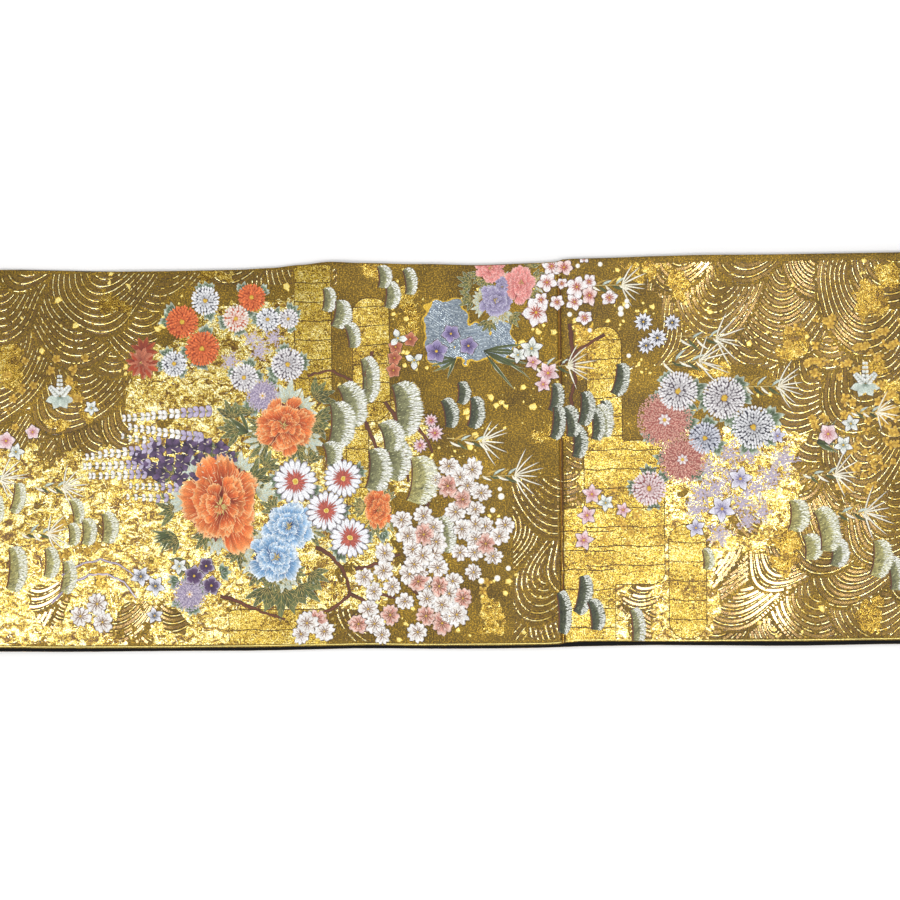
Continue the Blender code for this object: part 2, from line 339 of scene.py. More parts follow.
def thread_bump(tree, pitch_s, pitch_y, distance, extra=None):
    """The relief of crossing threads, as a normal. extra is another height to add."""
    threads = noise(tree, pitch_s, pitch_y, detail=1.0)
    height = threads if extra is None else plus(tree, threads, extra)
    return node(tree, "Bump", {"Height": height, "Strength": 1.0, "Distance": distance})


GROUND_TONES = [(0.34, srgb(82, 62, 9)), (0.5, srgb(107, 84, 14)), (0.68, srgb(136, 108, 27))]
# How the weft's dashes darken and light the ground.
DASH_TONES = [(0.36, (0.66, 0.64, 0.60)), (0.50, (1, 1, 1)), (0.57, (1.25, 1.22, 1.12)),
              (0.66, (2.6, 2.5, 2.1))]
# How the binding knots darken the foil.
KNOT_TONES = [(0.36, (0.30, 0.25, 0.18)), (0.46, (0.88, 0.87, 0.84)), (0.58, (1.12, 1.12, 1.12))]


def ground_material():
    """The brocade's brown-gold satin ground, with the short gold dashes of its weft."""
    material, tree, shader = new_material("ground_satin")
    clouds = noise(tree, 46, 34)
    dashes = ramp(tree, noise(tree, 1.1, 0.9, detail=1.0, distortion=0.5), DASH_TONES)
    streaks = noise(tree, 0.8, 5, roughness=0.6)
    half = node(tree, "Math", {0: plus(tree, streaks, clouds), 1: 0.5}, operation="MULTIPLY")
    wire(tree, shader, {"Base Color": times(tree, ramp(tree, half, GROUND_TONES), dashes), "Metallic": 0.5,
                        "Roughness": 0.46, "Normal": thread_bump(tree, 0.9, 2.2, 0.00006)})
    return material


def speckle_material(name, tones, roughness=0.26, blot=0.25, coat=0.0):
    """Gold foil threads that the binding weave breaks into short curled strokes of several tones. The palest
    tone is a painted glint of light on the foil.
    """
    material, tree, shader = new_material(name)
    curls = noise(tree, 1.6, 1.2, roughness=0.75, distortion=1.2)
    knots = ramp(tree, noise(tree, 1.0, 0.8, detail=1.0), KNOT_TONES)
    blots = noise(tree, 8, 5.5, detail=3.0, roughness=0.6, distortion=0.8)
    picked = curls
    for drift, reach in ((blots, blot), (noise(tree, 30, 24), 0.14)):
        shift = node(tree, "MapRange", {"Value": drift, "To Min": -reach, "To Max": reach})
        picked = plus(tree, picked, shift)
    normal = thread_bump(tree, 0.5, 1.1, 0.00008, curls)
    wire(tree, shader, {"Base Color": times(tree, ramp(tree, picked, tones), knots), "Metallic": 0.6,
                        "Roughness": roughness, "Normal": normal, "Coat Weight": coat,
                        "Coat Roughness": 0.22, "Coat Normal": normal})
    return material


def thread_material(name, metallic, roughness, contrast, sheen, relief=0.14, coat=0.0):
    """Woven threads in the colours that the motif carries, each thread a little different."""
    material, tree, shader = new_material(name)
    colour = node(tree, "Attribute", {}, attribute_name=THREAD)
    threads = noise(tree, 1.4, 0.42, detail=1.0)
    tone = ramp(tree, threads, [(0.30, (1 - contrast,) * 3), (0.70, (1 + contrast,) * 3)])
    wire(tree, shader, {"Base Color": times(tree, colour, tone), "Metallic": metallic, "Roughness": roughness,
                        "Sheen Weight": sheen, "Sheen Roughness": 0.4, "Coat Weight": coat,
                        "Coat Roughness": 0.13, "Normal": thread_bump(tree, 1.2, 0.4, relief * MM)})
    return material


def silk(name):
    return thread_material(name, 0.0, 0.62, 0.30, 0.06)


def back_material():
    """The plain black reverse: a fine twill with a low sheen."""
    material, tree, shader = new_material("back_twill")
    inputs = {"Vector": cloth_places(tree, 0.7, 0.7), "Scale": 0.32, "Distortion": 0.4}
    twill = node(tree, "TexWave", inputs, "Fac", bands_direction="DIAGONAL")
    bump = node(tree, "Bump", {"Height": twill, "Strength": 0.6, "Distance": 0.0001})
    colour = ramp(tree, twill, [(0.0, srgb(8, 8, 9)), (1.0, srgb(24, 24, 25))])
    wire(tree, shader, {"Base Color": colour, "Roughness": 0.75, "Specular IOR Level": 0.15, "Normal": bump})
    return material


# --- The two cloths ---------------------------------------------------------------------------

# A wall's rounded edge: how far in from the edge, and how far through the wall.
WALL_EDGE = [(0.0, 0.5), (0.08 * MM, 0.26), (0.3 * MM, 0.08), (0.7 * MM, 0.0)]
EDGE_INSET = 3 * MM
# How much of a wall's thickness is left where a cloth ends.
END_SHARE = 0.45
SHARP = math.radians(50)


def wall_ring(low, high, outer, columns):
    """One closed section across a cloth, as (y, depth), with rounded edges."""
    inner_low, inner_high = low + EDGE_INSET, high - EDGE_INSET
    level = [inner_low + (inner_high - inner_low) * i / (columns - 1) for i in range(columns)]
    ring = [(low + inset, share) for inset, share in WALL_EDGE]
    ring += [(y, 0.0) for y in level]
    ring += [(high - inset, share) for inset, share in reversed(WALL_EDGE)]
    ring += [(high - inset, 1 - share) for inset, share in WALL_EDGE[1:]]
    ring += [(y, 1.0) for y in reversed(level)]
    ring += [(low + inset, 1 - share) for inset, share in reversed(WALL_EDGE[1:])]
    return [(y, outer + share * WALL) for y, share in ring]


def cloth_shell(name, outer, setback, columns, stations, material):
    """One cloth of the sash along its whole length, outer below the face, as a closed thin shell."""
    stations = np.array(stations)
    low, high = sash_edges(stations)
    rings = [wall_ring(a + setback, b - setback, outer, columns) for a, b in zip(low, high)]
    flat = np.array(rings)
    for end in (0, -1):
        flat[end, :, 1] = outer + WALL / 2 + (flat[end, :, 1] - outer - WALL / 2) * END_SHARE
    count = flat.shape[1]
    along = np.repeat(stations[:, None], count, axis=1)
    points = place(along, flat[..., 0], flat[..., 1]).reshape(-1, 3)
    index = np.arange(len(points)).reshape(-1, count)
    ahead = np.roll(index, -1, axis=1)
    quads = np.stack([index[:-1], index[1:], ahead[1:], ahead[:-1]], -1).reshape(-1, 4)
    faces = quads.tolist() + [index[0].tolist(), index[-1][::-1].tolist()]
    mesh = bpy.data.meshes.new(name)
    mesh.from_pydata(points.tolist(), [], faces)
    write_map(mesh, np.stack([along, flat[..., 0]], -1).reshape(-1, 2))
    return finished(name, mesh, material)


def write_map(mesh, flat):
    """The cloth's flat coordinates as a UV map, from one pair for each point."""
    corners = np.empty(len(mesh.loops), int)
    mesh.loops.foreach_get("vertex_index", corners)
    layer = mesh.uv_layers.new(name=CLOTH_MAP)
    layer.data.foreach_set("uv", flat[corners].astype(np.float32).ravel())


def finished(name, mesh, material):
    """A shaded, linked object for a mesh."""
    mesh.materials.append(material)
    mesh.shade_smooth()
    mesh.set_sharp_from_angle(angle=SHARP)
    obj = bpy.data.objects.new(name, mesh)
    bpy.context.scene.collection.objects.link(obj)
    return obj


# --- Inlaid motifs ----------------------------------------------------------------------------

SINK = 0.05 * MM
# How far the motifs stay inside the sash's edges.
MARGIN = 0.7 * MM


class Inlay:
    """Motifs of one kind: low patches on the face, in flat coordinates, a colour for each point.
    base is how high above the cloth they begin."""

    def __init__(self, name, material, base=0.0):
        self.name, self.material, self.base = name, material, base * MM
        self.points, self.tint, self.quads, self.triangles, self.count = [], [], [], [], 0

    def add(self, flat, up, tint, quads=None, triangles=None):
        """Points as (n, 2), their heights and colours, and faces that index them."""
        self.points.append(np.column_stack([flat, up + self.base]))
        self.tint.append(tint)
        for kept, faces in ((self.quads, quads), (self.triangles, triangles)):
            if faces is not None:
                kept.append(faces + self.count)
        self.count += len(flat)

    def grids(self, flat, up, tint):
        """Patches that are grids of rows by columns: flat is (patches, rows, columns, 2)."""
        shape = flat.shape[:3]
        index = np.arange(math.prod(shape)).reshape(shape)
        corners = [index[:, :-1, :-1], index[:, 1:, :-1], index[:, 1:, 1:], index[:, :-1, 1:]]
        up = np.broadcast_to(up, shape).reshape(-1)
        tint = np.broadcast_to(tint, shape + (3,)).reshape(-1, 3)
        self.add(flat.reshape(-1, 2), up, tint, quads=np.stack(corners, -1).reshape(-1, 4))

    def build(self):
        """The piece: cut where the cloth bends, laid on the face and clipped to the sash's edges."""
        tint = np.concatenate(self.tint)
        faces = [row for group in self.quads + self.triangles for row in group.tolist()]
        mesh = bpy.data.meshes.new(self.name)
        mesh.from_pydata(np.concatenate(self.points).tolist(), [], faces)
        layer = mesh.color_attributes.new(THREAD, "FLOAT_COLOR", "POINT")
        layer.data.foreach_set("color", np.column_stack([tint, np.ones(len(tint))]).ravel())
        cut_where_bent(mesh)
        points = np.empty(len(mesh.vertices) * 3)
        mesh.vertices.foreach_get("co", points)
        s, y, up = points.reshape(-1, 3).T
        low, high = sash_edges(np.clip(s, SASH_START, SASH_END))
        y = np.clip(y, low + MARGIN, high - MARGIN)
        write_map(mesh, np.stack([s, y], 1))
        mesh.vertices.foreach_set("co", place(s, y, -up).ravel())
        mesh.update()
        return finished(self.name, mesh, self.material)


def cut_where_bent(mesh):
    """Cuts the faces that cross the crease or a turn, so that they bend with the cloth."""
    left = [LEFT_X - math.pi * LEFT_RADIUS * i / TURN_CUTS for i in range(TURN_CUTS, -1, -1)]
    right = [RIGHT_X + math.pi * RIGHT_RADIUS * i / TURN_CUTS for i in range(TURN_CUTS + 1)]
    work = bmesh.new()
    work.from_mesh(mesh)
    for cuts in (left, sorted(CREASE_CUTS), right):
        faces = [face for face in work.faces if crosses(face, cuts[0], cuts[-1])]
        geometry = faces + list({edge for face in faces for edge in face.edges})
        geometry += list({corner for face in faces for corner in face.verts})
        for x in cuts if faces else []:
            plane = {"plane_co": (x, 0, 0), "plane_no": (1, 0, 0), "dist": 1e-7}
            geometry = bmesh.ops.bisect_plane(work, geom=geometry, **plane)["geom"]
    work.to_mesh(mesh)
    work.free()


def crosses(face, low, high):
    places = [corner.co.x for corner in face.verts]
    return min(places) < high and max(places) > low


# Petal and leaf forms: the half width at places along the length, and the reach at each v, the
# place across.
Form = namedtuple("Form", "places halves tip")
STRAP = Form((0, .12, .5, .82, 1), (.30, .62, .88, 1, .45), lambda v: 1 - 0.14 * v * v)
ROUND = Form((0, .2, .5, .8, 1), (.18, .62, 1, .92, .40), lambda v: 1 - 0.22 * v * v)
HEART = Form((0, .25, .6, .85, 1), (.16, .60, 1, 1, .72),
             lambda v: 1 - 0.20 * (1 - np.abs(v)) ** 2 - 0.14 * v ** 4)
LEAF = Form((0, .12, .4, .75, 1), (.08, .55, 1, .62, .03), lambda v: 1 + 0 * v)
BLUNT = Form((0, .3, .7, .92, 1), (.30, .70, .95, 1, .70), lambda v: 1 - 0.08 * v * v)
BLADE = Form((0, .3, .7, 1), (.45, 1, .85, .10), lambda v: 1 + 0 * v)
RUFFLE = Form((0, .25, .6, .88, 1), (.16, .52, .92, 1, .80),
              lambda v: 1 - 0.16 * v * v + 0.045 * np.cos(3.2 * math.pi * v))

# How finely a patch is cut: its rows along and its columns across.
ROWS = np.array([0, 0.3, 0.6, 0.86, 1.0])
COLUMNS, FEW_COLUMNS = np.array([-1, -0.72, 0, 0.72, 1]), np.array([-1.0, 0.0, 1.0])
FINE, COARSE = (ROWS, COLUMNS), (np.array([0, 0.45, 0.85, 1.0]), FEW_COLUMNS)
STITCH, VEINED = (np.array([0, 0.5, 1.0]), FEW_COLUMNS), (ROWS, np.linspace(-1, 1, 17))
# Where a petal's tip colour begins along it, and its rim across and along it.
TIP_BEGINS, RIM_SIDE, RIM_END = 0.6, 0.97, 0.99
ALL_ROUND = 2 * math.pi
EVEN = (1.0, 1.0)


def plain(colour):
    """A look of one colour, hardly uneven, for outlines."""
    return Tones(colour, colour, colour, colour, 1.0, 0.08, 0.05)


def painted(u, v, count, look, rng):
    """The colours of count petals at every (u, v)."""
    body = blend(u / look.root_share)[None, :, None, None]
    tip = blend((u - TIP_BEGINS) / (1 - TIP_BEGINS))[None, :, None, None]
    colour = look.root * (1 - body) + look.body * body
    colour = colour * (1 - tip) + look.tip * tip
    colour = np.broadcast_to(colour, (count, len(u), len(v), 3)).copy()
    colour *= 1 + look.spread * rng.standard_normal((count, 1, 1, 1))
    colour *= 1 + look.streak * rng.standard_normal((count, 1, len(v), 1))
    rim = (np.abs(v) > RIM_SIDE)[None, :] | (u > RIM_END)[:, None]
    colour[:, rim] = look.rim
    return np.clip(colour, 0.001, 1.0)


def domed(up, dome):
    """Heights over a patch: up is those of its edge and middle in millimetres, dome 0 to 1."""
    edge, middle = up[0] * MM, up[1] * MM
    return edge - SINK * (1 - dome) + (middle - edge) * dome


def petals(inlay, centre, angles, reach, half, form, look, up, rng, grid=FINE, start=0.0, bend=0.0,
           squash=EVEN, ragged=0.0):
    """Petals, leaves or blades from a centre, or each from its own."""
    angles = np.atleast_1d(np.asarray(angles, float))
    count, (rows, columns) = len(angles), grid
    angles, reach, half, start, bend = (np.broadcast_to(value, (count,))[:, None, None]
                                        for value in (angles, reach, half, start, bend))
    u, v = rows[None, :, None], columns[None, None, :]
    torn = 1 + ragged * rng.standard_normal((count, 1, len(columns))) * u ** 4
    out = start + reach * u * (1 + (form.tip(v) - 1) * u ** 2) * torn
    side = half * np.interp(rows, form.places, form.halves)[None, :, None] * v + bend * reach * u ** 2
    cos, sin = np.cos(angles), np.sin(angles)
    flat = np.stack([out * cos - side * sin, out * sin + side * cos], -1) * np.array(squash)
    flat = flat + np.broadcast_to(np.asarray(centre, float), (count, 2))[:, None, None, :]
    dome = (1 - v ** 2) ** 0.5 * np.sin(math.pi * np.clip(u * 0.9 + 0.08, 0, 1)) ** 0.5
    inlay.grids(flat, domed(up, dome), painted(rows, columns, count, look, rng))


def ribbon(inlay, spine, half, look, up, rng, columns=FEW_COLUMNS):
    """A band along a spine, with its half width at each point of it."""
    half = np.broadcast_to(half, (len(spine),))
    along = np.gradient(spine, axis=0)
    along /= np.linalg.norm(along, axis=1, keepdims=True)
    side = np.stack([-along[:, 1], along[:, 0]], 1)
    flat = spine[:, None, :] + side[:, None, :] * half[:, None, None] * columns[None, :, None]
    tint = painted(np.linspace(0, 0.98, len(spine)), columns, 1, look, rng)
    inlay.grids(flat[None], domed(up, (1 - columns ** 2) ** 0.5), tint)


def discs(inlay, centres, radii, colour, up, rng, sides=9, ragged=0.0, rim=None):
    """Domed round patches: a middle point and two rings."""
    centres = np.atleast_2d(centres)
    count, size = len(centres), 1 + 2 * sides
    angles = ALL_ROUND * np.arange(sides) / sides
    wave = 1 + ragged * rng.standard_normal((count, 1, sides))
    reach = np.broadcast_to(radii, (count,))[:, None, None] * np.array([0.55, 1.0])[None, :, None] * wave
    flat = centres[:, None, None, :] + reach[..., None] * np.stack([np.cos(angles), np.sin(angles)], -1)
    flat = np.concatenate([centres[:, None, :], flat.reshape(count, -1, 2)], 1)
    edge, middle = up[0] * MM, up[1] * MM
    height = np.repeat([middle, (edge + 3 * middle) / 4, edge - SINK], [1, sides, sides])
    tint = np.broadcast_to(colour, (count, size, 3)).copy()
    if rim is not None:
        tint[:, 1 + sides:] = rim
    here, ahead = 1 + np.arange(sides), 1 + (np.arange(sides) + 1) % sides
    triangles = np.stack([0 * here, here, ahead], -1)
    quads = np.stack([here, sides + here, sides + ahead, ahead], -1)
    first = (np.arange(count) * size)[:, None, None]
    inlay.add(flat.reshape(-1, 2), np.tile(height, count), tint.reshape(-1, 3),
              quads=(quads + first).reshape(-1, 4), triangles=(triangles + first).reshape(-1, 3))


# --- Areas bounded by a field -------------------------------------------------------------------


def rounded_box(s, y, box):
    """How far inside a rounded box each point is, in metres: negative outside."""
    reach_s = np.abs(s - box.x) - box.half_x + box.corner
    reach_y = np.abs(y - box.y) - box.half_y + box.corner
    outside = np.hypot(np.maximum(reach_s, 0), np.maximum(reach_y, 0))
    return box.corner - outside - np.minimum(np.maximum(reach_s, reach_y), 0)


def wobble(s, y, size, seed):
    """A smooth uneven field from -1 to 1, with features of about that size in millimetres."""
    rng = np.random.default_rng(seed)
    total = 0
    for _ in range(7):
        angle, phase = rng.uniform(0, ALL_ROUND, 2)
        pace = rng.uniform(0.7, 1.9) * ALL_ROUND / (size * MM)
        total = total + np.sin((s * math.cos(angle) + y * math.sin(angle)) * pace + phase)
    return total / 3.2


CORNERS = [(0, 0), (1, 0), (1, 1), (0, 1)]
# Strokes: the shortest, how steeply a line crosses the sash to be dashed and how thin it must be in
# millimetres, half the length of dashed and whole ones in grid steps, and how often each colour comes.
SHORTEST, STEEP, THIN = 0.3 * MM, 0.55, 1
DASHED_HALF, WHOLE_HALF = 0.42, 0.54
COLOUR_SHARES = [0.45, 0.35, 0.20]


def sampled(field, span, step):
    """A field on a grid over a span: the grid's places along and across, and the values."""
    s, y = (np.linspace(a, b, round((b - a) / (step * MM)) + 1) for a, b in zip(*span))
    return s, y, field(*np.meshgrid(s, y, indexing="ij"))


def area(inlay, field, span, step, up, colour):
    """Fills where the field is positive with small faces, cut exactly at its border."""
    s, y, value = sampled(field, span, step)
    flat, known = [], {}

    def point(a, b):
        """The number of the border's point between two grid corners, or of one corner."""
        key = (min(a, b), max(a, b))
        if key not in known:
            known[key] = len(flat)
            first, last = key
            share = value[first] / (value[first] - value[last]) if a != b else 0.0
            flat.append([places[i] + share * (places[j] - places[i])
                         for places, i, j in zip((s, y), first, last)])
        return known[key]

    above, triangles = value > 0, []
    filled = above[:-1, :-1] | above[1:, :-1] | above[:-1, 1:] | above[1:, 1:]
    for i, j in np.argwhere(filled).tolist():
        loop, face = [(i + a, j + b) for a, b in CORNERS], []
        for a, b in zip(loop, loop[1:] + loop[:1]):
            if above[a]:
                face.append(point(a, a))
            if above[a] != above[b]:
                face.append(point(a, b))
        triangles += [(face[0], face[k], face[k + 1]) for k in range(1, len(face) - 1)]
    up, tint = np.full(len(flat), up * MM), np.broadcast_to(colour, (len(flat), 3))
    inlay.add(np.array(flat), up, tint, triangles=np.array(triangles))


def contour_strokes(inlay, field, spacing, span, step, keep, half, up, colours, rng, dome=0.04):
    """Lines of equal height of a field, as short strokes. Lines that run across the sash are
    broken into dashes, as its gold weft is, and those along it are whole."""
    s, y, value = sampled(field, span, step)
    value = value / spacing
    around = [value[i:i + len(s) - 1, j:j + len(y) - 1] for i, j in CORNERS]
    lowest, highest = np.minimum.reduce(around), np.maximum.reduce(around)
    lines = []
    for level in range(int(np.floor(value.min())) + 1, int(np.ceil(value.max()))):
        for i, j in np.argwhere((lowest < level) & (highest > level) & (highest - lowest < 1.5)):
            found = []
            for a, b in zip(CORNERS, CORNERS[1:] + CORNERS[:1]):
                first, last = value[i + a[0], j + a[1]] - level, value[i + b[0], j + b[1]] - level
                if (first > 0) != (last > 0):
                    share = first / (first - last)
                    found.append((s[i] + (s[1] - s[0]) * (a[0] + share * (b[0] - a[0])),
                                  y[j] + (y[1] - y[0]) * (a[1] + share * (b[1] - a[1]))))
            if len(found) == 2:
                lines.append(found)
    starts, ends = np.array(lines).transpose(1, 0, 2)
    middle, span = (starts + ends) / 2, ends - starts
    length = np.linalg.norm(span, axis=1)
    wanted = (length > SHORTEST) & keep(middle[:, 0], middle[:, 1], rng)
    middle, length = middle[wanted], length[wanted, None]
    along = span[wanted] / length
    side = np.stack([-along[:, 1], along[:, 0]], 1)
    dashed = (np.abs(along[:, 1:]) > STEEP) & (half < THIN)
    along = along * length * np.where(dashed, DASHED_HALF, WHOLE_HALF)
    u, v = np.array([-1.0, 1.0])[None, :, None, None], FEW_COLUMNS[None, None, :, None]
    flat = middle[:, None, None, :] + along[:, None, None, :] * u + side[:, None, None, :] * half * MM * v
    tint = np.array(colours)[rng.choice(len(colours), len(middle), p=COLOUR_SHARES)]
    edge = up * MM - SINK if dome else up * MM
    inlay.grids(flat, np.array([edge, (up + dome) * MM, edge]), tint[:, None, None, :])


# --- Colours of the threads -------------------------------------------------------------------

Tones = namedtuple("Tones", "root body tip rim root_share streak spread")


def looks(text):
    """Looks from rows: a name, four screen colours, and three hundredths."""
    made = {}
    for name, *cells in (row.split() for row in text.split(",")):
        numbers = [float(cell) for cell in cells]
        colours = [srgb(*numbers[first:first + 3]) for first in (0, 3, 6, 9)]
        made[name] = Tones(*colours, *(number / 100 for number in numbers[12:]))
    return made


# Columns: name, then a petal's colours at its root, over its body, at its tip and along its rim.
# Last, in hundredths: where the body begins, how much its threads differ, and how much petals do.
# In the peony looks, orange, blue, pink_peony and purple, the dark root that reaches far along each
# petal is partly the petals' own darker base and partly painted shadow under the ring of petals over it.
LOOKS = looks("""
    orange 140 42 10  220 100 38  238 148 80  248 204 146  85 14 7,
    orange_mum 176 62 18  230 112 52  240 150 90  244 180 120  30 12 7,
    white_navy 48 48 66  238 238 240  248 248 250  214 212 214  26 8 6,
    white_orange 214 88 30  240 226 212  248 248 250  222 206 196  36 8 5,
    white_lilac 92 78 90  238 234 234  248 248 250  222 214 216  26 8 6,
    white_pink 160 84 84  240 220 220  248 248 250  220 196 198  36 8 5,
    blue_gold 44 46 74  208 210 222  248 248 250  178 180 198  32 10 6,
    daisy 170 90 86  240 240 244  248 248 250  128 120 130  45 4 1,
    daisy_ring 164 56 44  198 98 82  226 156 142  160 72 60  40 18 16,
    blue 40 76 130  124 170 210  212 226 236  250 252 252  80 14 7,
    pink 164 92 82  212 152 138  226 178 162  216 168 150  50 18 12,
    pink_peony 172 70 70  224 136 130  238 168 160  242 196 188  80 12 6,
    purple 88 76 118  148 138 172  178 170 200  214 210 224  80 10 5,
    cherry 168 116 92  240 234 226  248 248 250  206 196 186  44 7 3,
    cherry_pink 170 70 56  228 172 154  246 226 214  196 156 142  66 8 4,
    plum 200 116 96  242 236 234  248 248 250  176 128 124  44 5 2,
    plum_pink 196 92 84  238 212 206  248 236 230  184 128 124  50 5 3,
    star_blue 30 30 60  228 228 234  248 248 250  240 240 242  60 6 3,
    star_pink 176 76 84  236 206 208  248 238 236  220 184 190  46 6 3,
    star_white 104 118 100  234 236 228  248 248 250  206 208 200  40 5 3,
    star_rust 132 56 36  186 108 78  204 138 104  224 170 130  50 10 6,
    star_purple 70 54 100  140 126 170  174 164 196  200 194 214  60 8 4,
    star_lilac 104 94 146  216 212 226  248 248 250  230 226 236  50 5 2,
    violet 60 38 70  88 62 98  196 184 206  214 204 214  50 10 6,
    lilac 150 136 164  190 178 200  214 206 218  196 184 196  30 14 12,
    autumn 104 36 22  156 58 28  188 92 40  196 128 64  40 16 12,
    leaf 40 56 34  82 100 70  206 216 200  170 180 160  30 18 16,
    leaf_gold 40 46 22  78 88 48  118 126 78  112 118 74  35 20 16,
    leaf_pale 96 116 98  196 208 196  236 238 226  172 184 168  34 8 6,
    pine_grey 92 90 54  148 148 106  180 182 148  250 250 244  30 26 5,
    pine_dark 50 54 36  84 90 66  140 146 124  238 240 230  40 28 5,
    pine_olive 140 128 66  172 168 112  200 200 158  248 248 234  35 30 5,
    spray 236 228 200  246 240 220  250 248 234  214 200 160  30 6 5,
    gold_leaf 140 104 34  190 154 58  216 188 100  160 122 46  40 12 10,
    branch 92 48 28  108 58 34  98 52 30  66 34 20  30 14 5,
    vine 206 184 108  218 200 130  224 208 150  176 146 72  30 6 5,
    wisteria 170 150 120  246 244 240  248 248 250  216 206 196  30 5 4,
    wisteria_lilac 140 124 160  190 178 204  212 202 220  134 120 150  40 6 4,
    wisteria_purple 50 36 62  90 68 102  118 98 130  70 52 82  40 16 16
""")
GOLD, PALE_GOLD = srgb(218, 178, 56), srgb(244, 226, 138)
WHITE, CREAM = srgb(248, 248, 250), srgb(240, 228, 186)
DEEP_GOLD, DARK_LINE, PALE_LINE = srgb(182, 132, 30), srgb(70, 46, 20), srgb(200, 206, 186)


# --- The motifs ---------------------------------------------------------------------------------

# Each takes the inlay, then its row's words, its centre and its sizes, then the random draws.
# Heights are (edge, middle) in millimetres above the inlay's base.


def fan(count, spread, rng, centre=0.0, jitter=0.05):
    """Angles spread evenly about a centre, each a little off."""
    angles = centre + spread * (np.arange(count) / max(count - 1, 1) - 0.5)
    return angles + jitter * rng.standard_normal(count)


def ring(count, rng, jitter=0.05):
    """Angles all round, from a random start."""
    return fan(count, ALL_ROUND * (count - 1) / count, rng, rng.uniform(0, ALL_ROUND), jitter)


def strokes(inlay, centre, angles, start, reach, half, look, up, rng, form=STRAP, squash=EVEN):
    """Thin single stitches."""
    petals(inlay, centre, angles, reach, half, form, look, up, rng, STITCH, start=start, squash=squash)


def stitches_between(inlay, inner, outer, half, look, up, rng):
    """Single stitches from each inner point to its outer one."""
    span = outer - inner
    angles, reach = np.arctan2(span[:, 1], span[:, 0]), np.hypot(*span.T)
    strokes(inlay, inner, angles, 0, reach, half, look, up, rng, BLADE)


def framed(inlay, centre, angles, reach, half, form, look, up, rng, grow, line=DARK_LINE, grid=FINE, **more):
    """Petals over a plain copy of themselves, larger by grow in millimetres: their outline."""
    petals(inlay, centre, angles, reach + grow * MM, half + grow * MM, form, plain(line), (0.0, 0.03), rng,
           COARSE, **more)
    petals(inlay, centre, angles, reach, half, form, look, up, rng, grid, **more)


def under_disc(inlay, centre, radius, colour, rng, squash=EVEN):
    """The dark threads that show between a flower's petals."""
    petals(inlay, centre, ring(18, rng, 0.02), radius, radius * 0.2, STRAP, plain(colour), (0.0, 0.04), rng,
           COARSE, squash=squash)


def mum(inlay, look, centre, radius, rng):
    """A chrysanthemum: rings of short rounded petals, darker inward, and a gold eye."""
    under_disc(inlay, centre, radius * 0.93, look.root * 0.8, rng)
    rings = max(3, round(radius / (3.0 * MM)))
    for number in range(rings):
        far, dark = radius * (1 - 0.80 * number / rings), 0.55 * (number / rings) ** 1.5
        body = look.body * (1 - dark) + look.root * dark
        shade = look._replace(body=body, tip=look.tip * (1 - dark) + body * dark, rim=body * 0.88)
        count = max(8, int(ALL_ROUND * far / (2.7 * MM)))
        reach = radius / rings * 1.22 * (1 + 0.12 * rng.standard_normal(count))
        edge = 0.06 + 0.09 * number
        petals(inlay, centre, ring(count, rng, 0.4 * MM / far), reach, 1.12 * MM, ROUND, shade,
               (edge, edge + 0.14), rng, COARSE, start=far - reach + 0.3 * MM * rng.standard_normal(count))
    discs(inlay, centre, radius * 0.16, GOLD, (0.42, 0.54), rng, ragged=0.1, rim=DEEP_GOLD)


def speckled_mum(inlay, look, centre, radius, rng):
    """A flower built up from short stitches in rings, around a small white star."""
    under_disc(inlay, centre, radius * 0.94, look.root, rng)
    for distance in np.arange(radius * 0.24, radius, 1.3 * MM):
        count = int(ALL_ROUND * distance / (1.5 * MM))
        angles = ring(count, rng, 0.5 * MM / distance)
        at = distance + 0.4 * MM * rng.standard_normal(count)
        strokes(inlay, centre, angles, at, 1.6 * MM, 0.66 * MM, look, (0.08, 0.2), rng)
    framed(inlay, centre, ring(7, rng), radius * 0.27, radius * 0.095, ROUND, LOOKS["plum"], (0.24, 0.36),
           rng, 0.3, look.root, COARSE)
    discs(inlay, centre, radius * 0.075, GOLD, (0.34, 0.44), rng)


def speckles(inlay, centre, radius, rng):
    """A loose patch of short stitches in the shape of a five-pointed flower."""
    count = int(math.pi * radius ** 2 / (2.6 * MM ** 2) * 1.7)
    angle, share = rng.uniform(0, ALL_ROUND, count), np.sqrt(rng.random(count))
    reach = radius * share * (0.64 + 0.36 * np.cos(5 * angle))
    at = centre + np.stack([np.cos(angle), np.sin(angle)], 1) * reach[:, None]
    turned = rng.uniform(0, math.pi, count)
    strokes(inlay, at, turned, 0, 1.5 * MM, 0.5 * MM, LOOKS["lilac"], (0.0, 0.1), rng)


def daisy(inlay, centre, radius, rng):
    """White petals with dark outlines round a ragged red ring and a gold eye."""
    under_disc(inlay, centre, radius * 0.9, srgb(86, 70, 76), rng)
    reach = radius * (1 + 0.03 * rng.standard_normal(19))
    framed(inlay, centre, ring(19, rng, 0.03), reach, radius * 0.125, BLUNT, LOOKS["daisy"], (0.1, 0.26), rng,
           0.26, srgb(64, 52, 60))
    for count, share in ((36, 0.56), (28, 0.44), (18, 0.32)):
        reach = radius * share * (1 + 0.14 * rng.standard_normal(count))
        strokes(inlay, centre, ring(count, rng, 0.08), radius * 0.08, reach - radius * 0.08, radius * 0.038,
                LOOKS["daisy_ring"], (0.34, 0.44), rng)
    discs(inlay, centre, radius * 0.13, GOLD, (0.46, 0.58), rng, ragged=0.1, rim=PALE_GOLD)


# A peony's rings of petals, from the outside: shares of its size, and the height of their edge.
Whorl = namedtuple("Whorl", "count share half start edge")
PEONY_WHORLS = [Whorl(12, 1.0, 0.27, 0.34, 0.06), Whorl(10, 0.80, 0.26, 0.24, 0.18),
                Whorl(8, 0.60, 0.22, 0.16, 0.30), Whorl(6, 0.42, 0.18, 0.08, 0.42),
                Whorl(5, 0.26, 0.12, 0.03, 0.54)]


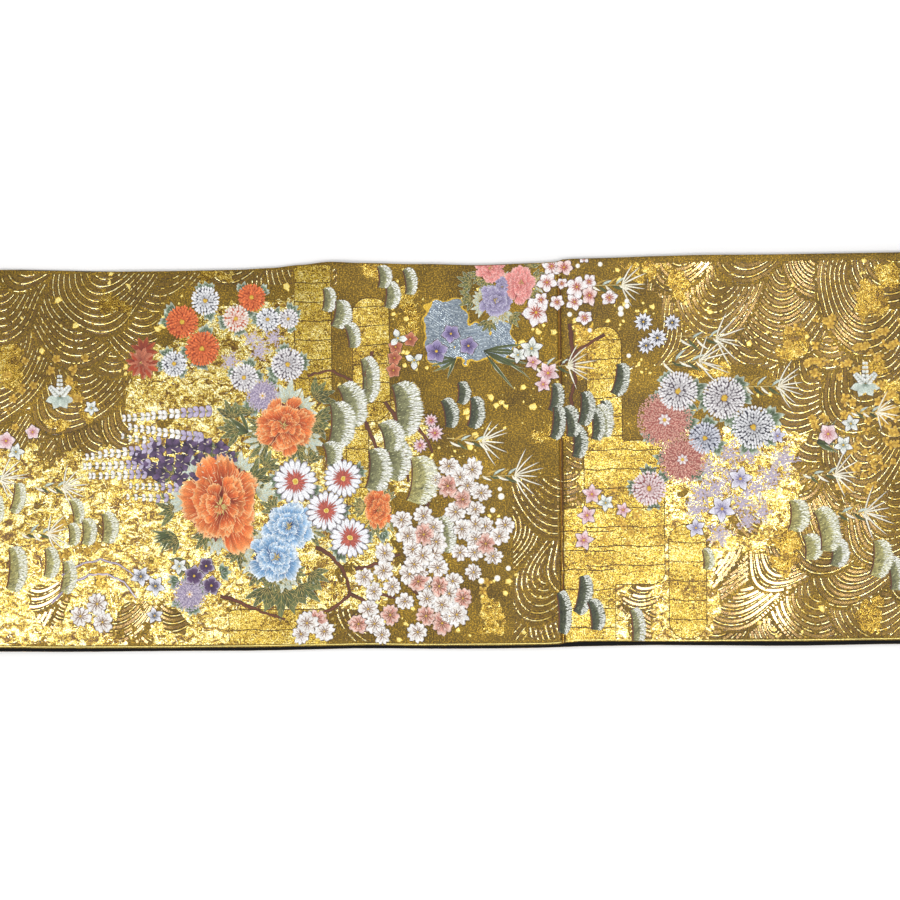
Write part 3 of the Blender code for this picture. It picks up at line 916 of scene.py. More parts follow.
def peony(inlay, look, centre, half_x, half_y, rng):
    """Rings of ruffled petals with pale veins, round a knot of gold stamens."""
    size = np.array([half_x, half_y])
    under_disc(inlay, centre, 0.84, look.root * 0.6, rng, squash=size)
    vein = look._replace(body=look.rim, tip=look.rim, root=look.body, spread=0.10)
    middle = centre + size * rng.uniform(-0.10, 0.10, 2)
    for count, share, half, start, edge in PEONY_WHORLS:
        angles = ring(count, rng, 0.16)
        at = centre * share + middle * (1 - share) + size * 0.05 * rng.standard_normal((count, 2))
        reach = (share - start) * (1 + 0.10 * rng.standard_normal(count))
        wide = half * (1 + 0.18 * rng.standard_normal(count))
        bend = rng.uniform(-0.25, 0.25, count)
        petals(inlay, at, angles, reach + 0.02, wide + 0.02, STRAP, plain(look.root), (edge - 0.04, edge),
               rng, COARSE, start, bend, size)
        # The look's dark root reaches far up each petal: partly its own darker base, partly painted shadow
        # under the ring of petals over it.
        petals(inlay, at, angles, reach, wide, RUFFLE, look, (edge, edge + 0.16), rng, VEINED, start, bend,
               size, 0.05)
        for offset in np.linspace(-0.7, 0.7, 7) * half / max(share, 0.4):
            begins = start + reach * rng.uniform(0.1, 0.5, count)
            runs = reach * rng.uniform(0.3, 0.5, count)
            strokes(inlay, at, angles + offset + 0.04 * rng.standard_normal(count), begins, runs, 0.013, vein,
                    (edge + 0.1, edge + 0.24), rng, squash=size)
    strokes(inlay, middle, ring(14, rng, 0.15), 0.02, 0.17 * (1 + 0.2 * rng.standard_normal(14)), 0.022,
            LOOKS["vine"], (0.62, 0.72), rng, squash=size)


def cherry(inlay, look, centre, radius, rng, form=HEART, stamens=9, heart=srgb(118, 84, 44), double=True):
    """A double cherry blossom with notched petals and stamens."""
    angles = ring(5, rng, 0.10)
    reach = radius * (0.95 + 0.05 * rng.standard_normal(5))
    squash = (1 + 0.10 * rng.standard_normal(), 1 + 0.10 * rng.standard_normal())
    framed(inlay, centre, angles, reach, radius * 0.37, form, look, (0.06, 0.18), rng, 0.42, squash=squash,
           ragged=0.04)
    if double:
        framed(inlay, centre, angles + math.pi / 5, reach * 0.72, radius * 0.27, form, look, (0.16, 0.28),
               rng, 0.28, look.rim * 0.6, COARSE, squash=squash)
        strokes(inlay, centre, ring(10, rng, 0.2), radius * 0.3, radius * 0.4 * rng.uniform(0.5, 1.2, 10),
                radius * 0.03, plain(look.root * 0.7), (0.26, 0.32), rng)
    anther = LOOKS["branch"]._replace(root=heart, body=heart, tip=GOLD, rim=heart)
    strokes(inlay, centre, ring(stamens, rng, 0.08), radius * 0.06, radius * 0.38, radius * 0.045, anther,
            (0.3, 0.38), rng)
    discs(inlay, centre, radius * 0.09, GOLD, (0.34, 0.44), rng, sides=7)


def plum(inlay, look, centre, radius, rng):
    """A single plum blossom with round petals and longer stamens."""
    cherry(inlay, look, centre, radius, rng, ROUND, 11, srgb(176, 76, 52), False)


# The petals of a small flower: how many, their half width as a share of its radius, and their form.
SMALL_FLOWERS = {"star": (5, 0.36, LEAF), "aster": (11, 0.17, ROUND), "bell": (5, 0.42, ROUND),
                 "trefoil": (3, 0.34, ROUND)}


def small_flower(inlay, kind, look, centre, radius, rng):
    """A small outlined flower with a gold eye."""
    count, half, form = SMALL_FLOWERS[kind]
    framed(inlay, centre, ring(count, rng, 0.06), radius, radius * half, form, look, (0.06, 0.2), rng, 0.50,
           grid=FINE if count < 6 else COARSE)
    angles, reach = ring(count * 2, rng, 0.12), radius * 0.42 * rng.uniform(0.6, 1.3, count * 2)
    strokes(inlay, centre, angles, radius * 0.1, reach, radius * 0.035, plain(look.root), (0.2, 0.26), rng)
    discs(inlay, centre, radius * 0.12, GOLD, (0.24, 0.34), rng, sides=7)


def autumn_leaf(inlay, centre, turn, rng):
    angles = fan(5, 2.8, rng, turn)
    look = LOOKS[rng.choice(["autumn", "autumn", "star_rust"])]
    framed(inlay, centre, angles, 12 * MM, 2.9 * MM, LEAF, look, (0.06, 0.2), rng, 0.4)


def bud(inlay, centre, radius, rng):
    discs(inlay, centre, radius, WHITE, (0.06, 0.3), rng, rim=CREAM)


def pine_pad(inlay, look, centre, half_x, half_y, rng):
    """A cloud of pine needles seen from the side, with its pale needle tips above and to the right."""
    lean, phase = rng.uniform(-0.22, 0.22), rng.uniform(0, ALL_ROUND)
    cos, sin = math.cos(lean), math.sin(lean)

    def at(u, v):
        """A point of the pad, u from its left side to its tips, v along it."""
        turn = v * math.pi / 2
        lobes = 1 + 0.10 * np.abs(np.sin(v * half_y / (4.4 * MM) + phase)) * u
        left_x, left_y = -0.80 + 0.30 * np.cos(turn), 0.86 * np.sin(turn)
        right_x, right_y = np.cos(turn) ** 0.8 * lobes, np.sin(turn)
        x = 1.2 * half_x * (left_x + u * (right_x - left_x))
        y = half_y * (left_y + u * (right_y - left_y)) * (1 - 0.10 * u * (1 - np.abs(v)))
        return np.stack([x * cos - y * sin, x * sin + y * cos], -1) + centre

    u, v = np.meshgrid(np.linspace(0, 1, 8), np.linspace(-0.98, 0.98, 33), indexing="ij")
    shade = np.clip(u / 0.6, 0, 1)[..., None]
    tint = look.root * (1 - shade) + look.body * shade
    tint = tint * (1 + look.streak * rng.standard_normal(u.shape + (1,)))
    edge = (np.minimum(u, 1 - u) < 0.01) | (np.abs(v) > 0.97)
    inlay.grids(at(u, v)[None], np.where(edge, 0.02 * MM, 0.14 * MM), np.clip(tint, 0.01, 1))
    dark_edge = at(np.full(20, -0.03), np.linspace(-0.9, 0.8, 20))
    ribbon(inlay, dark_edge, 0.6 * MM, LOOKS["branch"], (0.04, 0.12), rng)
    count = int(half_x * half_y / MM ** 2 * 0.95)
    inner = at(rng.uniform(0.04, 0.80, count), rng.uniform(-0.92, 0.92, count))
    outer = inner + rng.uniform(1.0, 2.2, (count, 1)) * MM * np.array([0.9, 0.5])
    outer = outer + 0.5 * MM * rng.standard_normal((count, 2))
    for first, share in enumerate((0.34, 1.6, 0.8)):
        needle = plain(look.body * share)._replace(spread=0.3)
        stitches_between(inlay, inner[first::3], outer[first::3], 0.42 * MM, needle, (0.17, 0.24), rng)
    fringe = look._replace(root=(look.tip + look.rim) / 2, body=look.rim, tip=look.rim, root_share=0.4,
                           spread=0.08)
    count = int(2.3 * half_y / (0.50 * MM))
    for row in range(3):
        v = np.linspace(-0.92 + 0.1 * row, 0.98, count) + 0.03 * rng.standard_normal(count)
        v = np.clip(v, -0.95, 0.985)
        tip = 1.02 - row * (0.13 + 0.08 * np.clip(v, 0, 1)) + 0.04 * rng.standard_normal(count)
        stitches_between(inlay, at(tip - 0.22, v * 0.94), at(tip, v), 0.36 * MM, fringe,
                         (0.18 - 0.02 * row, 0.34 - 0.04 * row), rng)


def spray(inlay, centre, reach, rng):
    """Bamboo grass: a fan of curved blades from a joint, on a stem with curved leaves."""
    angles = fan(8, 2.5, rng, 0.0, 0.08)
    lengths = reach * rng.uniform(0.72, 1.05, 8)
    framed(inlay, centre, angles, lengths, 0.64 * MM, BLADE, LOOKS["spray"], (0.06, 0.2), rng, 0.40,
           bend=-0.16 * np.sin(angles) * rng.uniform(0.3, 1.5, 8))
    stem = centre - np.array([reach * 1.2, 0.12 * reach * rng.uniform(-1, 1)]) * np.linspace(0, 1, 8)[:, None]
    ribbon(inlay, stem, 0.36 * MM, LOOKS["vine"], (0.04, 0.14), rng)
    for number, share in enumerate(np.linspace(0.1, 1.1, 9)):
        side = 1 if number % 2 else -1
        look = LOOKS[("spray", "leaf_pale", "leaf_gold", "gold_leaf")[number % 4]]
        angle, length = side * rng.uniform(0.6, 1.2), reach * rng.uniform(0.34, 0.52)
        framed(inlay, centre - [reach * share, 0], angle, length, 1.25 * MM, LEAF, look, (0.06, 0.18), rng,
               0.35, bend=-0.4 * side)


def leaf(inlay, kind, centre, reach, angle, rng):
    """A lobed leaf, or a feathered one of long leaflets with gold veins, edged with pale thread."""
    edging = PALE_LINE * 0.8
    if kind == "lobed":
        angles, lengths = fan(4, 1.7, rng, angle, 0.15), reach * rng.uniform(0.7, 1.15, 4)
        framed(inlay, centre, angles, lengths, reach * 0.28, LEAF, LOOKS["leaf"], (0.04, 0.12), rng, 0.40,
               edging)
        strokes(inlay, centre, angles, 0, lengths * 0.7, 0.36 * MM, LOOKS["leaf_pale"], (0.12, 0.18), rng)
        return
    angles, lengths = fan(4, 1.7, rng, angle), reach * rng.uniform(0.95, 1.3, 4)
    look, vine = LOOKS["leaf_pale" if kind == "pale" else "leaf_gold"], LOOKS["vine"]
    framed(inlay, centre, angles, lengths, reach * 0.21, LEAF, look, (0.04, 0.12), rng, 0.34, edging)
    along = np.stack([np.cos(angles), np.sin(angles)], 1)
    for share in (0.15, 0.38, 0.6):
        for side in (-1, 1):
            base = centre + along * (lengths * share)[:, None]
            strokes(inlay, base, angles + side * 0.5, 0, lengths * 0.26, 0.22 * MM, vine, (0.12, 0.18), rng)
    strokes(inlay, centre, angles, 0, lengths * 0.85, 0.26 * MM, vine, (0.14, 0.2), rng)


def long_leaves(inlay, centre, reach, spread, angle, rng):
    """Long curved leaves, fanned from one place."""
    angles = fan(7, spread, rng, angle)
    framed(inlay, centre, angles, reach * rng.uniform(0.6, 1.05, 7), 1.3 * MM, LEAF, LOOKS["leaf_gold"],
           (0.04, 0.14), rng, 0.3, PALE_LINE, bend=rng.uniform(-0.3, 0.3, 7))


def paulownia(inlay, centre, size, rng):
    """Five broad pale leaves under three upright spikes of florets."""
    angles, reach = np.array([-2.9, -2.1, -1.57, -1.0, -0.25]), size * np.array([0.95, 0.85, 0.6, 0.85, 0.95])
    framed(inlay, centre, angles, reach, size * 0.27, ROUND, LOOKS["leaf_pale"], (0.04, 0.16), rng, 0.4)
    for lean, tall in ((-0.75, 0.8), (0.0, 1.25), (0.75, 0.8)):
        for share in np.linspace(0.15, 1.0, 5):
            at = centre + size * tall * share * np.array([math.sin(lean), math.cos(lean)])
            angles, reach = np.array([0.7, 2.4]) - lean, size * 0.30 * (1.2 - 0.5 * share)
            framed(inlay, at, angles, reach, size * 0.12, ROUND, LOOKS["star_white"], (0.1, 0.2), rng, 0.25,
                   grid=COARSE)


def raceme(inlay, start, end, floret, rng):
    """A row of paired florets on a thin stem, white and then lilac."""
    count = max(2, int(np.linalg.norm(end - start) / (4.6 * MM)))
    spine = start + (end - start) * np.linspace(0, 1, count)[:, None]
    ribbon(inlay, spine, 0.5 * MM, LOOKS["leaf_gold"], (0.0, 0.08), rng)
    for number, at in enumerate(spine + 0.4 * MM * rng.standard_normal(spine.shape)):
        look = LOOKS["wisteria" if number < count * 0.62 else "wisteria_lilac"]
        size = floret * (0.9 + 0.6 * number / count)
        framed(inlay, at, np.array([2.4, -2.4]), size * 1.45, size * 0.50, ROUND, look, (0.1, 0.26), rng, 0.3)


def purple_floret(inlay, centre, radius, rng):
    """A dark four-petalled floret with a few small pale stitches."""
    under_disc(inlay, centre, radius * 1.05, srgb(48, 34, 58), rng)
    framed(inlay, centre, ring(4, rng, 0.25), radius * 1.2, radius * 0.42, ROUND, LOOKS["wisteria_purple"],
           (0.1, 0.26), rng, 0.34, srgb(38, 26, 46))
    strokes(inlay, centre + 2.6 * MM * rng.standard_normal((4, 2)), rng.uniform(-0.8, 0.8, 4), 0, 2.6 * MM,
            0.42 * MM, LOOKS["spray"], (0.36, 0.44), rng)


def branch(inlay, corners, half, rng):
    """A crooked branch through its corners."""
    spine = []
    for a, b in zip(corners, corners[1:]):
        count = max(2, int(np.linalg.norm(b - a) / (3 * MM)))
        spine += [a + (b - a) * i / count for i in range(count)]
    spine = np.array(spine + [corners[-1]])
    spine = spine + 0.35 * MM * rng.standard_normal(spine.shape)
    widths = half * np.linspace(0.95, 0.6, len(spine)) * (1 + 0.15 * rng.standard_normal(len(spine)))
    ribbon(inlay, spine, widths + 0.35 * MM, plain(DARK_LINE), (0.0, 0.04), rng)
    ribbon(inlay, spine, widths, LOOKS["branch" if half > 0.9 * MM else "lilac"], (0.06, 0.2), rng, COLUMNS)


# --- Where they lie ------------------------------------------------------------------------------

# Columns, in millimetres: look, x, y, radius
MUMS = table("""
    white_navy -288 128 11.6, orange_mum -307 111 13.1, -291 89 14, white_navy -314 77 10.4,
    orange_mum -250 130 11.3, white_orange -263 113 10.9, white_navy -237 112 9.7,
    white_lilac -220 112 8.3, -221 75 13.3, -257 65 11.4, white_pink 70 -29 13.6,
    white_lilac 94 49 15.5, 131 43 16.7, white_navy 154 19 16.7, blue_gold 115 11 12.7,
    orange_mum 430 96 14, white_navy 408 78 13, white_pink 452 78 12, white_lilac 426 62 14
""")
# look, x, y, radius
SPECKLED = table("""
    lilac -242 50 13.3, pink 83 26 20.9, 97 -6 18.3, lilac -304 -111 12.5, pink 398 50 15
""")
# look, x, y, half length, half width
PEONIES = table("""
    orange -276 -36 32 40.3, -224 25 24.9 23.1, -149 -43 11.9 16, blue -222 -56 20.8 22,
    -234 -81 21.4 20.8, pink_peony -56 151 12.5 12.5, -32 137 12.5 16, purple -52 124 13.3 14,
    -46 136 6.5 7.1, orange 462 36 24 22, blue 432 22 19 18, orange -500 84 20 22
""")
# x, y, radius
DAISIES = table("-216 -20 17.8, -177 -18 15.2, -191 -44 16, -172 -66 16, 466 4 14")
# look, x, y, radius
CHERRY = table("""
    cherry -161 -98 8.5, -145 -93 8.5, -138 -106 8.5, -153 -110 7.8, -158 -124 8.1, -153 -136 8.3,
    -144 -79 8.1, -130 -52 8.3, -125 -65 8.5, -112 -49 8.3, -121 -76 8.3, -113 -81 8.3,
    -124 -96 8.3, -110 -116 8.3, -208 -135 8.5, -194 -142 7.8, -213 -144 7.4, -128 -118 7.1,
    -147 -145 7.1, -91 -9 8.3, -72 -12 8.3, -102 -20 7.1, -76 -25 8.3, -65 -31 8.3, -86 -46 8.3,
    -70 -44 7.8, -81 -60 7.8, -62 -58 7.8, -70 -68 8.1, -51 -66 7.8, -83 -79 7.8, -72 -95 8.3,
    -101 -91 8.5, -116 -94 8.1, -92 -112 7.8, -86 -129 8.5, cherry_pink -166 -136 8.3,
    -140 -129 8.5, -112 -64 8.9, -117 -102 8.3, -111 -130 8.1, cherry -118 -143 7.8,
    cherry_pink -200 -132 7.8, -92 -25 8.5, -80 -36 7.8, cherry -102 -70 8.1, -46 -57 8.1,
    cherry_pink -62 -72 7.8, cherry -71 -79 7.8, -56 -82 8.3, cherry_pink -100 -106 8.5,
    cherry -89 -102 7.8, cherry_pink -81 -116 8.5, cherry -98 -121 7.8, cherry_pink -98 -136 8.3,
    cherry -104 -58 8, -120 -88 8, -108 -106 7.6, -82 -18 7.6, -70 -56 7.4, -104 -80 7.8,
    -92 -130 7.8, -380 -118 9.5, -394 -128 9.5, -376 -133 8.5, -510 48 8.5, -496 40 8.5,
    cherry_pink -504 56 8.5, cherry -516 60 8, -490 54 8
""")
# look, x, y, radius
PLUM = table("""
    plum -6 151 8.1, plum_pink 4 150 7.6, plum -10 138 8.1, 2 137 5.2, 14 134 8.5,
    plum_pink 24 127 7.4, plum 12 122 7.4, 40 125 8.1, 20 109 7.8, -19 114 11.9, -15 124 6.5,
    -2 122 6.5, 20 157 4, 24 138 6.4
""")
# x, y, radius
BUDS = table("""
    8 112 2.1, 24 99 1.9, 15 151 1.9, 54 122 2.1, 49 116 2.4, 54 118 2.2, 49 112 2.5, -50 -28 1.9,
    -49 -34 2.8, -56 -45 2.3, -103 -32 2.1, -66 -102 2.6, -53 -100 2.6, 55 78 1.9, -44 -92 2.2,
    33 152 2
""")
# kind, look, x, y, radius
SMALL = table("""
    aster star_blue 67 105 8, 90 104 7, 78 92 8.4, 69 86 7.2, aster star_pink -102 18 7.6,
    -105 28 6, -114 8 6.4, star star_pink 24 -33 8.4, 20 -50 8, star star_white 35 -40 7.2,
    star star_pink 49 -46 6.4, 17 -70 8.4, star star_white -383 42 6.4, bell star_pink -432 23 6.4,
    -454 16 8, star star_white -446 7 7.4, bell star_pink 213 13 8.5, star star_white 231 21 7.4,
    225 4 8, star star_blue -344 -96 8.5, -332 -104 8.5, -333 -128 7.1,
    trefoil star_white -131 95 8, -118 77 8, bell star_rust -133 88 6.4, -134 79 6.4, -135 69 6.4,
    -121 94 6.4, star star_white -23 85 9.6, -34 80 7, star star_pink -10 65 9.7, -14 56 7,
    bell star_purple -88 98 8, -100 84 10, -74 88 8, bell violet -300 -96 9, -286 -104 8.5,
    -290 -88 7.5, star star_white -312 -88 7, star star_lilac 143 -22 10.1, 128 -46 11.1, 107 -61 8,
    173 12 6.5, star star_pink -22 74 7, aster star_blue 484 70 8, 494 58 7.5,
    bell star_purple 446 -10 9, star star_white -486 118 8, aster star_pink -478 104 7,
    bell star_purple -520 110 8
""")
# x, y, radius
LILAC = table("""
    135 -2 9, 150 -2 8.5, 178 -7 10, 168 -21 10, 117 -14 9, 112 -34 10, 144 -42 10, 126 -66 9,
    160 -49 7.5, 107 -47 8, 156 -30 9, 136 -20 9, 124 -30 9, 148 -56 8, -268 78 7, -244 86 8,
    -250 96 6, -232 96 7
""")
# look, x, y, half length, half width
PINES = table("""
    pine_grey -187 127 5.3 10.1, -177 115 7.1 11.9, -142 145 5.3 9.5, -136 130 5.9 11.3,
    -121 141 5 11.3, -168 98 5.3 10.7, -155 62 7.1 19, -169 42 9.5 19, -179 26 10.1 19,
    -126 38 11.3 22.5, -138 16 8.9 13.1, -149 -11 9.5 17.8, -133 -3 9.5 17.8,
    pine_olive -114 -20 11 20, pine_grey -186 3 7.1 9.5, pine_dark -90 34 5.9 12.5, -79 50 5 9.5,
    -69 34 6.2 13.3, -4 45 5.3 12, -3 25 5.3 14.2, 20 36 5.9 14.2, 8 26 5.9 13.1, 35 32 5.3 10.7,
    29 23 5.3 13.1, 14 9 5.9 13.1, 48 59 5.9 13.6, pine_grey 34 26 6.2 13.9,
    pine_dark 16 -114 5.9 16.6, 0 -128 5.3 17.8, 26 -130 5.9 13.1, pine_grey -94 -64 6.5 15.4,
    pine_olive 188 -52 7.7 13.2, 211 -63 8.5 18.6, 199 -77 7.4 10.8, pine_grey 220 -82 7 11.6,
    pine_olive 253 -87 7.7 15.5, pine_grey 265 -99 6.2 13.9, 59 -140 5.4 15.5,
    pine_olive 116 -86 4.4 9, -396 -42 5 10.7, -387 -59 5.9 11.3, -370 -56 6.5 13.1,
    -399 -61 4.7 9.5, -447 -89 7.7 19, -445 -31 5.3 13.1, -463 -40 5.3 13, pine_grey 322 -6 8 17,
    340 -18 8 16, 330 -38 7 15, pine_dark -488 -14 7 16, -474 -28 7 14, pine_olive -404 -96 6 14,
    -418 -84 6 13
""")
# x, y, reach
SPRAYS = table("""
    6 71 23.7, -64 11 23.7, -38 -17 23.7, 50 135 21.7, 125 91 26.3, 111 73 26.3, 174 52 23.2,
    252 30 18.6, 218 -19 23.2, 241 -50 24.8, -459 -15 23.7, -407 -22 21.4, 300 44 22, -420 -60 20,
    384 -60 22
""")
# x, y, size
PAULOWNIAS = table("-409 51 13, 243 52 13, 500 -60 13")
# kind, x, y, reach, then the direction in thousandths of a radian
LEAVES = table("""
    feathered -315 -42 14 3100, -316 -15 12 2600, -313 -66 13 3500, -306 -84 12 3900,
    -267 32 14 1700, -250 36 12 2300, -262 22 14 3300, -200 48 16 600, -200 30 15 -200,
    -241 -8 13 900, -206 -4 13 1100, -204 -94 13 -800, -228 -106 21 -1400, -214 -104 17 -1000,
    -240 -106 16 -1900, -262 -76 13 -1900, -70 138 11 3000, -70 126 10 3400, -56 108 10 -1900,
    -24 150 9 1200, -40 112 9 -700, lobed -146 -62 9 -900, feathered 440 50 16 2600, 484 22 16 -300,
    452 2 15 -1500, -482 92 14 200, -504 60 14 -1200, lobed -312 -100 9 3500, -278 -94 9 500,
    476 84 11 900, 392 88 11 2400
""")
# x, y, reach, then the spread and the direction in thousandths of a radian
LONG_LEAVES = table("""
    -62 84 46 1150 -330, -254 20 30 1500 2500, -84 78 22 900 3600, 204 6 24 1600 200,
    -318 -62 18 1300 3400
""")
# x and y of each autumn leaf, then its direction in thousandths of a radian
AUTUMN = table("""
    -341 80 1900, -341 82 500, -340 77 -1500, -338 76 -400, -343 78 -2700, -339 88 1300
""")
# half width of each branch, then its corners
BRANCHES = table("""
    1.0 -205 66 -187 70 -170 62 -160 50, 1.2 -152 84 -158 66 -155 50,
    1.6 -142 44 -133 30 -138 12 -148 -8, 1.4 -160 30 -150 8 -142 -16, 1.3 -178 20 -182 8 -176 -8,
    1.7 -200 -73 -186 -82 -176 -96 -172 -112, 1.3 -172 -112 -160 -118 -148 -112 -134 -116,
    1.2 -172 -112 -188 -124 -206 -130, 1.3 -168 -92 -150 -88 -132 -80,
    1.3 -278 -112 -262 -118 -244 -126 -226 -132, 1.2 -108 -38 -112 -58 -106 -80,
    1.1 -130 -100 -118 -112 -110 -128, 1.5 8 104 12 60 8 44 12 28, 1.4 36 96 16 84 2 72,
    1.4 -132 14 -126 0 -124 -22, 1.2 -120 26 -110 16 -104 2,
    0.8 -417 -117 -402 -102 -386 -94 -372 -94 -358 -100 -348 -114,
    0.7 -408 -94 -394 -86 -378 -82 -362 -86 -348 -96, 1.3 -500 66 -506 40 -498 20,
    1.2 326 -60 334 -40 344 -20
""")
# floret size, then start and end of each row of wisteria
RACEMES = table("""
    3.2 -355 33 -284 38, 3.2 -350 26 -290 16, 3.1 -386 2 -332 8, 2.9 -388 -6 -335 -4,
    2.6 -350 -22 -312 -24, 2.8 -384 -14 -338 -12, 2.6 -356 18 -326 14, 2.6 -352 -30 -320 -33
""")
# x, y and radius of the dark florets at the rows' end
PURPLE_FLORETS = table("""
    -344 1 6.5, -330 7 7, -316 10 7, -302 9 7, -289 10 6.5, -277 7 6.5, -336 -8 6.5, -322 -4 7,
    -308 -3 7, -294 -3 7, -281 -5 6.5, -326 -14 6.5, -311 -15 7, -269 0 5.5, -297 -15 6,
    -284 -15 5.5
""")
# x, y and reach of the areas where gold sprigs are strewn, then how many
SPRIGS = table("""
    56 -50 24 16, 230 52 34 46, 200 86 20 14, 250 4 22 26, 240 -20 20 12, 262 40 14 12,
    -405 66 18 9, -440 66 16 7, 260 90 16 9, 205 -66 18 8, -392 -74 26 12, -60 -108 8 3,
    372 60 24 12, -470 30 24 12, 430 -60 30 14
""")
Box = namedtuple("Box", "x y half_x half_y corner")
BANDS = table("""
    -200 102 15 54 4, -153 78 15 50 13, 35 50 14 52 14, -165 -10 9 46 6, 50 -48 32 58 10,
    20 -100 22 56 6, 100 -104 15 46 14, -232 -140 40 16 3, 330 60 15 62 14, 366 -30 15 70 14,
    474 84 16 50 14, -508 96 14 44 13
""", Box)
MISTS = table("""
    -400 -74 130 84 24, -296 30 56 62 24, -262 -70 60 90 20, -235 66 44 52 20, -170 -60 38 66 16,
    66 -84 56 74 16, 130 -26 62 52 24, -490 -80 56 70 20, 420 -90 70 46 22, 440 20 46 30 18,
    -250 96 44 34 14, -136 10 26 40 12
""", Box)
PATCHES = table("""
    -377 -97 6 8 5, -364 126 14 7 6, -450 76 9 18 8, -397 54 8 6 4, -410 28 10 4 3, -384 40 8 7 4,
    -148 152 10 7 5, -10 16 12 5 4, 96 136 7 12 5, 186 84 9 12 8, 248 120 12 14 8, 262 140 8 10 5,
    250 66 9 7 5, 262 48 7 7 4, 178 -80 10 18 9, 244 -132 9 12 7, -58 -130 8 16 7, -280 150 14 5 4,
    300 120 14 12 8, 410 130 16 9 7, 500 20 10 16 8, -500 30 12 14 8, -122 118 7 22 7, 20 82 8 20 6,
    68 146 14 6 5, 120 66 14 5 4
""", Box)
HOLES = table("""
    62 -122 9 30 6, -346 -140 10 16 6, -386 12 7 12 5, -420 -118 12 14 6, 150 -60 8 6 4,
    -318 -132 7 8 4
""", Box)
# A pale stream with a gold edge, among the flowers near the upper edge.
STREAM = table("-92 106 17 18 12, -70 90 15 14 10, -48 92 9 16 8, -96 82 12 9 8", Box)
DIVISION = 15.5 * MM


def inside_any(group, s, y):
    """How far inside the nearest of several rounded boxes each point is."""
    return np.maximum.reduce([rounded_box(s, y, box) for box in group])


def mist_field(s, y):
    ragged = 7 * MM * wobble(s, y, 46, 5) + 3.4 * MM * wobble(s, y, 13, 6)
    inside = np.minimum(inside_any(MISTS, s, y), 11 * MM)
    return np.minimum(inside, -inside_any(HOLES, s, y)) + ragged - 3 * MM


def band_field(s, y):
    return inside_any(BANDS, s, y)


def patch_field(s, y):
    return inside_any(PATCHES, s, y) + 4 * MM * wobble(s, y, 20, 7) + 2.6 * MM * wobble(s, y, 6, 8)


def stream_field(s, y):
    return inside_any(STREAM, s, y) + 2.2 * MM * wobble(s, y, 16, 12)


def ripple_field(s, y):
    """A height whose level lines are the pale stream's waves."""
    return 0.8 * y + 0.35 * s + 3.5 * MM * np.sin(s / (7 * MM) + y / (15 * MM))


def curl_field(s, y):
    """A height whose level lines are the mist's curls."""
    return 6 * MM * wobble(s, y, 21, 14) + 0.3 * y


def whorls():
    """The families of flowing lines, lowest first: the centre of each, and how far it reaches."""
    rng = draws("whorls")
    rows = [(x + (row % 2) * 29, y) for row, y in enumerate(range(-175, 190, 33))
            for x in range(-560, 560, 58)]
    spots = np.array(rows) * MM + rng.uniform(-11, 11, (len(rows), 2)) * MM
    reach = rng.uniform(32, 50, len(rows)) * MM
    order = np.argsort(spots[:, 1] + rng.uniform(-26, 26, len(rows)) * MM)
    return np.column_stack([spots, reach])[order]


WHORLS = whorls()
# Where no water flows, since flowers and pines stand there.
DRY = table("""
    -246 20 82 120 30, -120 60 60 100 10, -100 -60 60 96 14, 110 10 66 60 26, 0 60 40 50 10,
    -70 110 60 50 10, -62 40 66 60 10, 56 100 26 30 10, 30 130 40 24 10
""", Box)


def water_field(s, y):
    """A height whose level lines are flowing water: nested arcs, where later families lie over
    earlier ones."""
    bent_s = s + 6 * MM * np.sin(y / (21 * MM) + 1.3) + 1.2 * MM * np.sin(y / (9 * MM) + s / (60 * MM))
    bent_y = y + 4 * MM * np.sin(s / (30 * MM))
    value = 0.8 * bent_s + 0.3 * bent_y
    for x, middle, reach in WHORLS:
        ahead = bent_y - middle
        far = np.hypot(bent_s - x - 0.25 * ahead, 0.58 * ahead)
        value = np.where(far < reach, far + x, value)
    return value


def water_open(s, y, _=None):
    """Where water flows: on open ground."""
    low, high = sash_edges(s)
    bare = (mist_field(s, y) < -1 * MM) & (band_field(s, y) < -2 * MM) & (patch_field(s, y) < 0)
    return bare & (inside_any(DRY, s, y) < 0) & (y > low + 3 * MM) & (y < high - 2 * MM)


def water_keep(s, y, rng):
    """Which strokes of its threads are drawn."""
    return water_open(s, y) & (rng.random(s.shape) < 0.82 + 0.16 * np.sin(s / (31 * MM) + y / (17 * MM)))


# --- The inlays ----------------------------------------------------------------------------------

# The foils' tones, darkest first. The palest of each, near white, is a painted glint of light on the foil.
BAND_TONES = [(0.36, srgb(80, 54, 14)), (0.44, srgb(156, 120, 24)), (0.51, srgb(202, 168, 44)),
              (0.60, srgb(222, 198, 80)), (0.70, srgb(244, 236, 180))]
MIST_TONES = [(0.35, srgb(92, 62, 14)), (0.43, srgb(160, 120, 24)), (0.50, srgb(210, 176, 44)),
              (0.58, srgb(232, 212, 92)), (0.68, srgb(252, 248, 206))]
PATCH_TONES = [(0.35, srgb(96, 70, 18)), (0.44, srgb(146, 112, 26)), (0.53, srgb(184, 146, 36)),
               (0.62, srgb(210, 178, 64)), (0.72, srgb(236, 222, 148))]
WHOLE = (-532 * MM, -152 * MM), (532 * MM, 155 * MM)
WATER_SPAN = (-530 * MM, -150 * MM), (530 * MM, 152 * MM)
STREAM_SPAN = (-120 * MM, 62 * MM), (-34 * MM, 132 * MM)
WATER_PITCH = 3.6 * MM


def curl_keep(s, y, rng):
    """Which strokes of the curled lines are drawn: those inside the mist, in drifts."""
    low, high = sash_edges(s)
    drifts = wobble(s, y, 34, 15) > -0.25
    inside = (mist_field(s, y) > 1 * MM) & (band_field(s, y) < -1 * MM)
    inside = inside & (y > low + 3 * MM) & (y < high - 3 * MM)
    return inside & drifts & (rng.random(s.shape) < 0.9)


